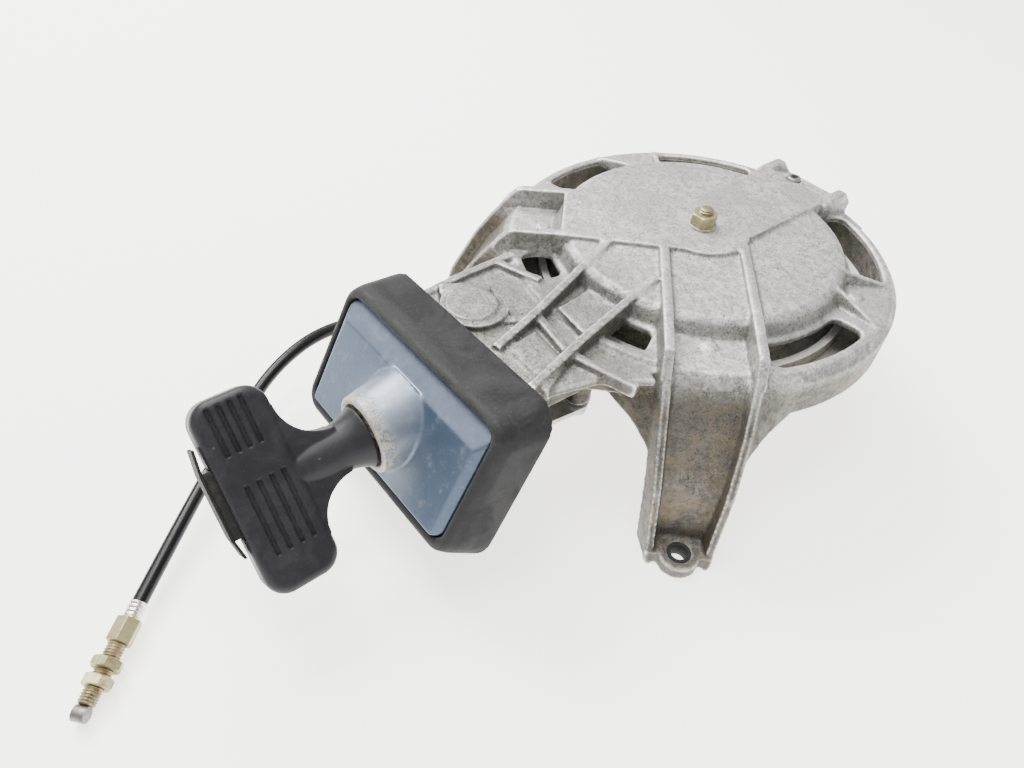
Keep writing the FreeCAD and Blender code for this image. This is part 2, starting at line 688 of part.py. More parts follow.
def rope_winding():
    """The turns of rope that lie in the groove."""
    return keep(revolved("rope_winding", [
        ("groove_root + 0.05", "groove_low + 0.6"), ("winding_radius - 2", "groove_low + 0.6"),
        ("winding_radius", "rope_high - 1.4"), ("winding_radius", "rope_high + 1.4"),
        ("winding_radius - 2", "groove_high - 0.6"),
        ("groove_root + 0.05", "groove_high - 0.6")]), "rope_winding")


def recoil_spring():
    """The flat coil spring: a strip wound outwards in the drum's cup, hooked at both ends."""
    strip = 0.9
    tall = 14
    turns = 9
    inner = 17.0
    pitch = 5.6
    steps = 24
    rails = [[], []]
    for k in range(turns * steps + 1):
        turn = 2 * math.pi * k / steps
        middle = inner + pitch * k / steps
        for rail, offset in zip(rails, (-strip / 2, strip / 2)):
            rail.append(Vector((middle + offset) * math.cos(turn), (middle + offset) * math.sin(turn), 69))
    curves = []
    for rail in rails:
        curve = Part.BSplineCurve()
        curve.interpolate(rail)
        curves.append(curve)
    ends = [Part.LineSegment(rails[0][i], rails[1][i]).toShape() for i in (0, -1)]
    section = Part.Face(Part.Wire([curves[0].toShape(), ends[1], curves[1].toShape(), ends[0]]))
    return keep(feature("recoil_spring", section.extrude(Vector(0, 0, tall))), "recoil_spring")


def spring_cover():
    """The thin steel disc that holds the coil spring down in its cup."""
    return washer("spring_cover", "cup_inner - 0.4", "drum_hub + 1", "1.2", (0, 0, 84.2))


def pawl_spot(side):
    return side * size("pawl_circle"), 0.0


def drive_pawls():
    """Two pawls under the drum, each a hooked plate on its own pin."""
    for name, side in (("drive_pawl_left", -1), ("drive_pawl_right", 1)):
        def plate(sketch):
            outline(sketch, [("-7", "-5"), ("2", "-8"), ("9", "-4"), ("10", "6"), ("6", "20"), ("4", "29"),
                             ("-1", "27"), ("-2", "15"), ("-8", "5")])
            ring(sketch, "0", "0", "4.06")

        x, y = pawl_spot(side)
        turn = Rotation(Vector(0, 0, 1), 0 if side > 0 else 180)
        keep(padded(name, plate, "pawl_thick", (x, y, size("pawl_low")), turn), name)
        keep(revolved(name.replace("drive_pawl", "pawl_pin"), [
            ("0", "pawl_low - 2"), ("6", "pawl_low - 2"), ("6", "pawl_low - 0.5"), ("4", "pawl_low - 0.5"),
            ("4", "web_low"), ("0", "web_low")], (x, y, 0)), name.replace("drive_pawl", "pawl_pin"))


def pawl_springs():
    """A small wire return spring round each pawl pin."""
    for name, side in (("pawl_spring_left", -1), ("pawl_spring_right", 1)):
        x, y = pawl_spot(side)
        coils = [Part.makeTorus(6, 0.5, Vector(x, y, high)) for high in (58.4, 59.2, 60.0)]
        leg = rod((x, y + side * 6, 60), (x - side * 16, y + side * 9, 60), 0.42)
        stem = rod((x + 6, y, 59), (x + 6, y, 61.9), 0.42)
        shape = coils[0].fuse(coils[1:] + [leg, stem])
        keep(feature(name, shape), name)


def friction_plate():
    """The plate that throws the pawls out: a disc with two forked arms beside the pawls."""
    def disc(sketch):
        ring(sketch, "0", "0", "27")
        ring(sketch, "0", "0", "drum_hub + 0.1")

    body = padded("friction_plate", disc, "2.2", (0, 0, 54))
    arm = body.newObject("PartDesign::Pad", "friction_arms")
    sketch = new_sketch(body, "arm_outline", "XY_Plane")
    outline(sketch, [("25.2", "9"), ("37", "12"), ("37", "17"), ("22", "15")])
    arm.Profile = sketch
    arm.Length = 2.2
    doc.recompute()
    repeat = body.newObject("PartDesign::PolarPattern", "both_arms")
    repeat.Originals = [arm]
    repeat.Axis = (body.Origin.OriginFeatures[2], [""])
    repeat.Angle = 360
    repeat.Occurrences = 2
    body.Tip = repeat
    return keep(body, "friction_plate")


def friction_spring():
    """The wire clip that presses the friction plate on to the hub."""
    ringed = Part.makeTorus(17.5, 0.9, Vector(0, 0, 52.7))
    return keep(feature("friction_spring", ringed), "friction_spring")


# ---------------------------------------------------------------- rope, roller, handle

def guide_roller():
    x = size("pull_x") - size("roller_turn")
    root = "roller_turn - rope_radius - 0.05"
    roller = revolved("guide_roller", [
        ("roller_bore", "57.5"), ("15.5", "57.5"), ("15.5", "58.7"), (root, "59.4"), (root, "65.6"),
        ("15.5", "66.3"), ("15.5", "67.5"), ("roller_bore", "67.5")], (x, size("roller_y"), 0))
    keep(roller, "guide_roller")
    pin = revolved("roller_pin", [
        ("0", "54.4"), ("6", "54.4"), ("6", "57"), ("roller_pin", "57"), ("roller_pin", "84"), ("0", "84")],
        (x, size("roller_y"), 0))
    keep(pin, "roller_pin")


def lead_points():
    """Where the rope leaves the drum and where it meets the roller, in plan."""
    reach = math.hypot(size("pull_x") - size("roller_turn"), size("roller_y"))
    centre = Vector(size("pull_x") - size("roller_turn"), size("roller_y"), 0)
    lean = math.atan2(-centre.x, -centre.y)
    bearing = math.asin((size("roller_turn") + size("wrap_radius")) / reach) - lean
    left = Vector(-math.cos(bearing), -math.sin(bearing), 0)
    return left * size("wrap_radius"), centre, left, bearing


def rope_lead():
    """The rope from the drum to the roller and round it: a straight run and one arc."""
    start, centre, left, bearing = lead_points()
    lift = Vector(0, 0, size("rope_high"))
    turn = size("roller_turn")
    meets = centre - left * turn + lift
    middle = centre + Vector(math.cos(bearing / 2), math.sin(bearing / 2), 0) * turn + lift
    leaves = centre + Vector(turn, 0, 0) + lift
    straight = Part.LineSegment(start + lift, meets).toShape()
    path = Part.Wire([straight, Part.Arc(meets, middle, leaves).toShape()])
    section = Part.Wire(Part.Circle(start + lift, meets - start - lift, size("rope_radius")).toShape())
    shape = path.makePipeShell([section], True, False)
    expected = path.Length * math.pi * size("rope_radius") ** 2
    assert abs(shape.Volume / expected - 1) < 0.02, "rope lead volume"
    print("drum wrap point", start, "roller", centre, "bearing", math.degrees(bearing))
    return keep(feature("rope_lead", shape), "rope_lead")


def rope_run():
    """The rope's straight run, from the roller out to its knot in the handle."""
    high = size("rope_high")
    pull = size("pull_x")
    knot_start = size("knot_y") + 2.2
    shape = rod((pull, size("roller_y"), high), (pull, knot_start, high), size("rope_radius"))
    return keep(feature("rope_run", shape), "rope_run")


def rope_knot():
    """The knot that stops the rope in the grip: two crossed turns."""
    spot = Vector(size("pull_x"), size("knot_y"), size("rope_high"))
    shape = Part.makeSphere(4.6, spot).common(Part.makeBox(20, 4.4, 20, spot - Vector(10, 2.2, 10)))
    return keep(feature("rope_knot", shape), "rope_knot")


def grip_frame():
    """Frame of the grip: X along the bar, Y up the rope towards the case, Z out of its broad face."""
    spot = Vector(size("pull_x"), size("grip_y"), size("rope_high"))
    return Placement(spot, Rotation(Vector(0, 1, 0), size("grip_twist")))


def groove_fields():
    """The two fields of grooves: where they start and stop along the bar, the first groove and the step."""
    return ((-40.3, -18.5, -7.0, 4.8), (-5.0, 28.0, -5.8, 5.5))


def grip_stem():
    """The turned stem: narrow at its waist and flared where it meets the face plate's mouth."""
    waist = size("stem_radius")
    mouth_gap = 0.3
    mouth_end = size("mouth_y") - mouth_gap - size("grip_y")
    flare = 15.2
    root = size("grip_thick") / 2 - 0.2
    root_start = 7
    side = Part.BSplineCurve()
    side.interpolate([Vector(r, y, 0) for r, y in (
        (root, root_start), (root, 13), (root + 0.7, 19), (waist - 0.2, 26), (waist, 32),
        (waist + 0.6, 39), (waist + 2.3, 45), (flare, mouth_end - 0.8))])
    edges = [Part.makeLine(Vector(0, root_start, 0), Vector(root, root_start, 0)), side.toShape(),
             Part.makeLine(Vector(flare, mouth_end - 0.8, 0), Vector(flare, mouth_end, 0)),
             Part.makeLine(Vector(flare, mouth_end, 0), Vector(0, mouth_end, 0)),
             Part.makeLine(Vector(0, mouth_end, 0), Vector(0, root_start, 0))]
    return Part.Face(Part.Wire(edges)).revolve(Vector(), Vector(0, 1, 0), 360)


def grip_crooks():
    """The web under the bar, hollowed by a round on each side, where the fingers lie."""
    low = size("grip_back")
    reach = size("crook_radius")
    stem = size("stem_radius")
    edges = []
    for side in (-1, 1):
        middle = Vector(side * (stem + reach), low + reach, 0)
        on_bar = middle + Vector(0, -reach, 0)
        on_stem = middle + Vector(-side * reach, 0, 0)
        halfway = middle + Vector(-side * reach, -reach, 0) * math.sqrt(0.5)
        edges.append((Part.Arc(on_bar, halfway, on_stem).toShape(), on_bar, on_stem))
    (left, left_bar, left_stem), (right, right_bar, right_stem) = edges
    sunk = Vector(0, -6, 0)
    closing = [Part.makeLine(left_stem, right_stem), Part.makeLine(right_bar, right_bar + sunk),
               Part.makeLine(right_bar + sunk, left_bar + sunk), Part.makeLine(left_bar + sunk, left_bar)]
    outline_wire = Part.Wire(Part.sortEdges([left, right] + closing)[0])
    half_thick = 7.6
    web = Part.Face(outline_wire).extrude(Vector(0, 0, 2 * half_thick))
    web.translate(Vector(0, 0, -half_thick))
    return web


def grip_body():
    """The moulded T-shaped grip: a flared stem and a broad bar with two fields of grooves."""
    upper = size("grip_upper")
    front = size("grip_front")
    thick = size("grip_thick")
    corner = Vector(upper, front, -thick / 2)
    bar = Part.makeBox(size("grip_lower") - upper, size("grip_back") - front, thick, corner)
    bar = bar.makeFillet(size("grip_corner"), [e for e in bar.Edges if e.BoundBox.ZLength > 1])
    rims = [e for e in bar.Edges if e.BoundBox.ZLength < 1e-6]
    bar = bar.makeFillet(4.5, rims)
    shape = bar.fuse([grip_stem(), grip_crooks()])
    grooves = []
    wide = size("groove_wide")
    for start, stop, first, step in groove_fields():
        for k in range(4):
            for face in (-1, 1):
                corner = Vector(start, first + step * k - wide / 2, face * (thick / 2 - 0.4) - 0.9)
                grooves.append(Part.makeBox(stop - start, wide, 1.8, corner))
    shape = shape.cut(grooves)
    shape = shape.cut(Part.makeCylinder(size("grip_bore"), 90, Vector(0, -30, 0), Vector(0, 1, 0)))
    return shape.cut(Part.makeBox(34, 6, 12, Vector(-17, front - 1, -6)))


def handle_grip():
    thing = feature("handle_grip", grip_body())
    thing.Placement = grip_frame()
    return keep(thing, "handle_grip")


def anchor_pieces():
    """The block that the rope is knotted behind, and the thin sprung plate over it."""
    outer = size("grip_front")
    block = Part.makeBox(31, 8.0, 11.4, Vector(-16.5, outer - 3.2, -5.7))
    block = block.cut(Part.makeCylinder(4.9, 6.6, Vector(0, outer - 3.3, 0), Vector(0, 1, 0)))
    block = block.cut(Part.makeCylinder(size("grip_bore"), 12, Vector(0, outer - 4, 0), Vector(0, 1, 0)))
    thing = feature("anchor_block", block)
    thing.Placement = grip_frame()
    keep(thing, "anchor_block")
    face = outer - 3.25
    corners = [(-27, face + 1.4), (-15.5, face), (13.5, face), (23, face + 1.6)]
    back = [(x, y - 1.3) for x, y in reversed(corners)]
    strip = Part.Face(Part.makePolygon([Vector(x, y, -6.5) for x, y in corners + back + corners[:1]]))
    plate = strip.extrude(Vector(0, 0, 13))
    thing = feature("anchor_plate", plate)
    thing.Placement = grip_frame()
    keep(thing, "anchor_plate")


# ---------------------------------------------------------------- face plate and seal

def face_plate():
    """The painted plate with its slanted boss, whose mouth the grip's stem seats in."""
    wide = size("plate_wide")
    high = size("plate_high")
    thick = size("plate_thick")
    slab = Part.makeBox(wide, high, thick, Vector(-wide / 2, -high / 2, -thick))
    upright = [e for e in slab.Edges if e.BoundBox.ZLength > 1]
    slab = slab.makeFillet(size("plate_corner"), upright)
    edge = high / 2
    slope = polygon_face([(-wide, edge - 11.5, 0.01), (-wide, edge + 1, 0.01), (-wide, edge + 1, -5.4)])
    slab = slab.cut(slope.extrude(Vector(2 * wide, 0, 0)))
    for side in (-1, 1):
        slope = polygon_face([(side * (wide / 2 - 4), -high, 0.01), (side * (wide / 2 + 1), -high, 0.01),
                              (side * (wide / 2 + 1), -high, -4)])
        slab = slab.cut(slope.extrude(Vector(0, 2 * high, 0)))
    for u, v in plate_screw_spots():
        slab = slab.cut(Part.makeCylinder(1.7, thick - 2.5, Vector(u, v, -thick)))
    slab.Placement = plate_frame()
    mouth = Vector(size("pull_x"), size("mouth_y"), size("rope_high"))
    inward = Vector(0, 1, 0)
    boss = Part.makeCone(size("mouth_radius"), size("mouth_radius") + 5, 25, mouth, inward)
    outer = Part.makeBox(wide - 2, high - 2, 60, Vector(1 - wide / 2, 1 - high / 2, -thick + 1))
    outer.Placement = plate_frame()
    boss = boss.common(outer)
    shape = slab.fuse(boss)
    shape = shape.cut(Part.makeCylinder(size("mouth_bore"), size("mouth_floor") - size("mouth_y") + 0.01,
                                        mouth - inward * 0.01, inward))
    shape = shape.cut(Part.makeCylinder(6.5, 40, mouth, inward))
    return keep(feature("face_plate", shape.removeSplitter()), "face_plate")


def rope_bush():
    """The plastic eyelet that guides the rope through the face plate."""
    floor = Vector(size("pull_x"), size("mouth_floor"), size("rope_high"))
    inward = Vector(0, 1, 0)
    shape = Part.makeCylinder(6.4, 20, floor, inward)
    inner = Part.makeCylinder(size("rope_radius") + 0.5, 30, floor - inward * 5, inward)
    lip = Part.makeCone(8.5, 9.5, 2, floor - inward * 2, inward)
    limit = Part.makeBox(40, 40, 30, Vector(-20, -20, -size("plate_thick") + 0.05))
    limit.Placement = plate_frame()
    return keep(feature("rope_bush", shape.common(limit).fuse(lip).cut(inner)), "rope_bush")


def plate_screws():
    """Four screws through the end flange into the back of the face plate, as one group."""
    solids = []
    for u, v in plate_screw_spots():
        head = Part.makeCylinder(4, 2.8, Vector(u, v, -size("plate_thick") - 6.3 - 2.8))
        shank = Part.makeCylinder(1.65, 12.5, Vector(u, v, -size("plate_thick") - 6.4))
        solids.append(head.fuse(shank))
    thing = feature("plate_screws", Part.makeCompound(solids))
    thing.Placement = plate_frame()
    return keep(thing, "plate_screws")


def rounded_frame(half_wide, half_high, corner, lift, shift=0.0):
    """A rounded rectangle as a wire, in the face plate's frame."""
    points = Part.makeBox(2 * half_wide, 2 * half_high, 1, Vector(-half_wide, shift - half_high, lift))
    rounded = points.makeFillet(corner, [e for e in points.Edges if e.BoundBox.ZLength > 0.5])
    flat = [f for f in rounded.Faces if f.BoundBox.ZLength < 1e-6 and abs(f.BoundBox.ZMin - lift) < 1e-6][0]
    return flat.OuterWire


def rubber_seal():
    """The rubber boot round the face plate: a flaring frame with a raised lip at the front."""
    outside = Part.makeLoft([rounded_frame(*frame) for frame in SEAL_OUTSIDE], True, True)
    gap = size("seal_gap")
    half_wide = size("plate_wide") / 2
    half_high = size("plate_high") / 2
    corner = size("plate_corner")
    snug = (half_wide + gap, half_high + gap, corner + gap)
    loose = (half_wide + 3 * gap, half_high + 3 * gap, corner + 3 * gap)
    mouth = Part.makeLoft([rounded_frame(*loose, -1.7), rounded_frame(*snug, -4.0)], True, True)
    seat = Part.makeLoft([rounded_frame(*snug, -3.9), rounded_frame(*snug, -13.0)], True, True)
    front = SEAL_OUTSIDE[0]
    back = SEAL_OUTSIDE[-1]
    cavity = Part.makeLoft([
        rounded_frame(front[0] + 1, half_high + 1, 8, -12.5),
        rounded_frame(back[0] - 5.5, back[1] - 6, 12, back[3] - 2, back[4])], True, True)
    thing = feature("rubber_seal", outside.cut([mouth, seat, cavity]))
    thing.Placement = plate_frame()
    return keep(thing, "rubber_seal")


# ---------------------------------------------------------------- interlock and cable

def stop_lever():
    """The interlock lever: a boss on its pivot, a tooth by the drum's edge and a long arm for the wire."""
    def plan(sketch):
        outline(sketch, [("-7.5", "-2"), ("-9", "-46.3"), ("1", "-46.3"), ("7", "0"), ("3", "7"),
                         ("-8", "7"),
                         ("-22", "6"), ("-30", "5.2"), ("-30", "0.5"), ("-20", "-2.5")])
        ring(sketch, "0", "0", "3.06")

    lever = padded("stop_lever", plan, "lever_thick", (size("lever_x"), size("lever_y"), size("lever_low")))
    fork = new_sketch(lever, "fork_outline", "XY_Plane")
    for near, far in (("-45.8", "-44"), ("-38.6", "-37")):
        outline(fork, [("-8.5", near), ("-6.7", near), ("-6.7", far), ("-8.5", far)])
    prongs = lever.newObject("PartDesign::Pad", "lever_fork")
    prongs.Profile = fork
    prongs.Reversed = True
    prongs.Length = 6
    keep(lever, "stop_lever")
    spot = (size("lever_x"), size("lever_y"), 0)
    keep(revolved("lever_pivot", [
        ("0", "52.4"), ("5.5", "52.4"), ("5.5", "lever_low - 0.2"), ("3", "lever_low - 0.2"),
        ("3", "60"), ("2.4", "60"), ("2.4", "72"), ("0", "72")], spot), "lever_pivot")


def wire_end():
    """The barrel on the inner wire's near end, and the lever's hook pin that it pulls."""
    y = size("wire_y")
    z = size("wire_z")
    wire = rod((-47, y, z), (size("lever_x") - 6, y, z), 0.8)
    barrel = rod((size("lever_x") - 6, y, z), (size("lever_x") + 2.5, y, z), 2.6)
    return keep(feature("inner_wire", wire.fuse(barrel)), "inner_wire")


def cable_gland():
    """The threaded gland in the neck's side wall that the cable's outer seats in."""
    y = size("wire_y")
    z = size("wire_z")
    flange = rod((size("neck_left") - 5, y, z), (size("neck_left"), y, z), 7)
    barrel = rod((size("neck_left"), y, z), (-45, y, z), 4.5)
    nut = rod((size("neck_left") + 4.6, y, z), (size("neck_left") + 7.6, y, z), 7)
    shape = flange.fuse([barrel, nut]).cut(rod((-70, y, z), (-30, y, z), 1.0))
    return keep(feature("cable_gland", shape), "cable_gland")


def cable_path(points):
    """Straight runs joined by tangent arcs as large as the runs allow; also gives the arcs' radii."""
    spots = [Vector(*p) for p in points]
    edges = []
    radii = []
    last = spots[0]
    for before, corner, after in zip(spots, spots[1:], spots[2:]):
        into = (corner - before).normalize()
        out = (after - corner).normalize()
        turn = into.getAngle(out)
        run = 0.45 * min((corner - before).Length, (after - corner).Length)
        radius = run / math.tan(turn / 2)
        start = corner - into * run
        stop = corner + out * run
        inward = (out - into).normalize()
        centre = corner + inward * (radius / math.cos(turn / 2))
        edges.append(Part.LineSegment(last, start).toShape())
        edges.append(Part.Arc(start, centre - inward * radius, stop).toShape())
        radii.append(round(radius, 1))
        last = stop
    edges.append(Part.LineSegment(last, spots[-1]).toShape())
    return Part.Wire(edges), radii


def cable_outer():
    path, radii = cable_path(CABLE_ROUTE)
    print("cable radii", radii, "length", round(path.Length, 1))
    start = Vector(*CABLE_ROUTE[0])
    along = Vector(*CABLE_ROUTE[1]) - start
    section = Part.Wire(Part.Circle(start, along, size("cable_radius")).toShape())
    shape = path.makePipeShell([section], True, False)
    expected = path.Length * math.pi * size("cable_radius") ** 2
    assert abs(shape.Volume / expected - 1) < 0.01, "cable volume"
    return keep(feature("cable_outer", shape), "cable_outer")


def end_rotation():
    """Turns +Z to the way that the cable's end points."""
    pitch = math.radians(size("end_pitch"))
    turn = math.radians(size("end_turn"))
    along = Vector(math.cos(turn) * math.cos(pitch), math.sin(turn) * math.cos(pitch), -math.sin(pitch))
    return Rotation(Vector(0, 0, 1), along), along


def jam_nut(along_sleeve, turn):
    """One thin hex nut on the threaded sleeve, in the frame of the cable's end."""
    flats = size("jam_flats")
    tall = size("jam_tall")
    corners = [Vector(*polar(flats / math.sqrt(3), 60 * k + turn), 0) for k in range(7)]
    prism = Part.Face(Part.makePolygon(corners)).extrude(Vector(0, 0, tall))
    wide = flats / 2 + 1.1
    lens = Part.makeCone(flats / 2 - 0.3, wide, 0.9).fuse([
        Part.makeCylinder(wide, tall - 1.8, Vector(0, 0, 0.9)),
        Part.makeCone(wide, flats / 2 - 0.3, 0.9, Vector(0, 0, tall - 0.9))])
    bore = Part.makeCylinder(size("thread_radius") + 0.05, tall + 1, Vector(0, 0, -0.5))
    nut = prism.common(lens).cut(bore)
    nut.translate(Vector(0, 0, along_sleeve))
    return nut


def cable_end():
    """The crimped ferrule, hex coupler, threaded sleeve, two jam nuts, and the wire with its barrel."""
    rotation, along = end_rotation()
    ferrule_long = 8
    sleeve_at = ferrule_long + size("coupler_long")
    sleeve_end = sleeve_at + size("sleeve_long")

    def at(distance):
        return tuple(Vector(*CABLE_END) + along * distance)

    keep(revolved("cable_ferrule", [
        ("0", "0"), ("4.1", "0"), ("4.3", "1.5"), ("3.8", "2.2"), ("4.2", "3.2"), ("3.7", "4.4"),
        ("4.2", "5.6"), ("3.8", "6.6"), ("3.8", "8"), ("0", "8")], CABLE_END, rotation), "cable_ferrule")
    keep(padded("hex_coupler", lambda sketch: hexagon(sketch, "0", "0", "coupler_flats"), "coupler_long",
                at(ferrule_long), rotation), "hex_coupler")

    def tube(sketch):
        ring(sketch, "0", "0", "thread_radius")
        ring(sketch, "0", "0", "1.2")

    keep(padded("threaded_sleeve", tube, "sleeve_long", at(sleeve_at), rotation), "threaded_sleeve")
    flat_down = size("end_turn") + 30
    pair = [jam_nut(JAM_NUT_SPOTS[0], flat_down + 12), jam_nut(JAM_NUT_SPOTS[1], flat_down)]
    nuts = feature("jam_nuts", Part.makeCompound(pair))
    nuts.Placement = Placement(Vector(*CABLE_END), rotation)
    keep(nuts, "jam_nuts")
    middle = sleeve_end + size("nipple_radius") + 0.1
    barrel_long = 5.6
    across = Vector(*polar(1, size("end_turn") + 90), 0)
    wire = Part.makeCylinder(0.8, middle - 24, Vector(0, 0, 24))
    foot = Vector(0, 0, middle) - across * barrel_long / 2
    barrel = Part.makeCylinder(size("nipple_radius"), barrel_long, foot, across)
    nipple = feature("wire_nipple", barrel.fuse(wire))
    nipple.Placement = Placement(Vector(*CABLE_END), rotation)
    keep(nipple, "wire_nipple")


def check_document():
    """Stop if any object failed, or any sub-part's shape is missing or broken."""
    doc.recompute()
    for thing in doc.Objects:
        bad = [state for state in thing.State if state in ("Invalid", "Error")]
        assert not bad, "%s is %s" % (thing.Name, bad)
    for thing in nodes:
        assert not thing.Shape.isNull(), "%s has no shape" % thing.Label
        assert thing.Shape.isValid(), "%s is broken" % thing.Label


def main():
    starter_case()
    foot_collars()
    centre_bolt()
    centre_nut()
    shaft_washers()
    bearing_sleeve()
    case_screw()
    drum()
    rope_winding()
    recoil_spring()
    spring_cover()
    drive_pawls()
    pawl_springs()
    friction_plate()
    friction_spring()
    guide_roller()
    rope_lead()
    rope_run()
    rope_knot()
    handle_grip()
    anchor_pieces()
    face_plate()
    rope_bush()
    plate_screws()
    rubber_seal()
    stop_lever()
    wire_end()
    cable_gland()
    cable_outer()
    cable_end()
    check_document()
    os.makedirs("parts", exist_ok=True)
    for thing in nodes:
        thing.Shape.exportStep("parts/%s.step" % thing.Label)
    print(len(nodes), "nodes")


main()
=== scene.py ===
"""Looks of a recoil starter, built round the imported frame.

The frame holds every rigid part.  This script dresses those parts, and builds the cast case, the face plate,
the rubber seal, the grip, the rope, the threads and the interlock cable as finished meshes in their places.
All lengths are metres in the frame of the part: Z is the crank axis and the pull handle points to -Y.
"""

from __future__ import annotations

import json
import logging
import math
from collections.abc import Callable, Sequence
from dataclasses import dataclass, field
from enum import Enum

import bpy
from mathutils import Matrix, Vector


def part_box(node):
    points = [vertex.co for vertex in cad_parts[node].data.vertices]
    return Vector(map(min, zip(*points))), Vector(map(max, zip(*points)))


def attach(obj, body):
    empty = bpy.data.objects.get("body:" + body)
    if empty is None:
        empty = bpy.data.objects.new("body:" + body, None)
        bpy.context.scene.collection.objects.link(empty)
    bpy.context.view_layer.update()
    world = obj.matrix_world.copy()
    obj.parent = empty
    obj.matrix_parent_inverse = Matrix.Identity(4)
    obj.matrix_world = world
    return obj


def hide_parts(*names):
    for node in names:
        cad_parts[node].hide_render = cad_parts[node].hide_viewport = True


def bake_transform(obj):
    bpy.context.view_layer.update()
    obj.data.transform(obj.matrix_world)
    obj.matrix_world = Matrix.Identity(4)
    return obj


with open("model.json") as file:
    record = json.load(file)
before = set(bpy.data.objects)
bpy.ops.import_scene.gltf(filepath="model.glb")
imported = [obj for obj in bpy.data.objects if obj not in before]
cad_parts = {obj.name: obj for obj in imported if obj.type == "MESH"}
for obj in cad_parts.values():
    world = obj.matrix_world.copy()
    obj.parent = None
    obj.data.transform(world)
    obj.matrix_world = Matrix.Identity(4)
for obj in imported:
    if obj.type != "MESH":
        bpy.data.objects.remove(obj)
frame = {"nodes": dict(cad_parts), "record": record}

LOG = logging.getLogger("recoil_starter")
MM = 0.001
Colour = tuple[float, float, float]
Socket = bpy.types.NodeSocket


class Grade(Enum):
    """How a skin is drawn over a rigid part: voxel (mm), smoothing rounds and most triangles."""

    CASTING = (0.85, 9, 190_000)
    PAINTED = (0.7, 6, 90_000)
    MOULDED = (0.5, 7, 150_000)
    RUBBER = (0.9, 8, 80_000)


class Plating(Enum):
    """The metal surfaces of the small parts: light colour, dark colour, roughness and share of tarnish."""

    ZINC = ((0.62, 0.62, 0.60), (0.28, 0.27, 0.26), 0.34, 0.35)
    YELLOW = ((0.47, 0.44, 0.25), (0.22, 0.18, 0.09), 0.42, 0.45)
    BROWNED = ((0.40, 0.33, 0.21), (0.11, 0.08, 0.05), 0.50, 0.60)
    TIN = ((0.80, 0.79, 0.75), (0.42, 0.40, 0.37), 0.22, 0.18)
    SPRING = ((0.26, 0.29, 0.35), (0.10, 0.10, 0.12), 0.30, 0.30)
    HARDENED = ((0.36, 0.35, 0.34), (0.12, 0.11, 0.10), 0.40, 0.40)
    WIRE = ((0.22, 0.21, 0.20), (0.08, 0.075, 0.07), 0.48, 0.40)
    BRONZE = ((0.60, 0.42, 0.22), (0.26, 0.16, 0.08), 0.42, 0.30)


# ---------------------------------------------------------------- node materials


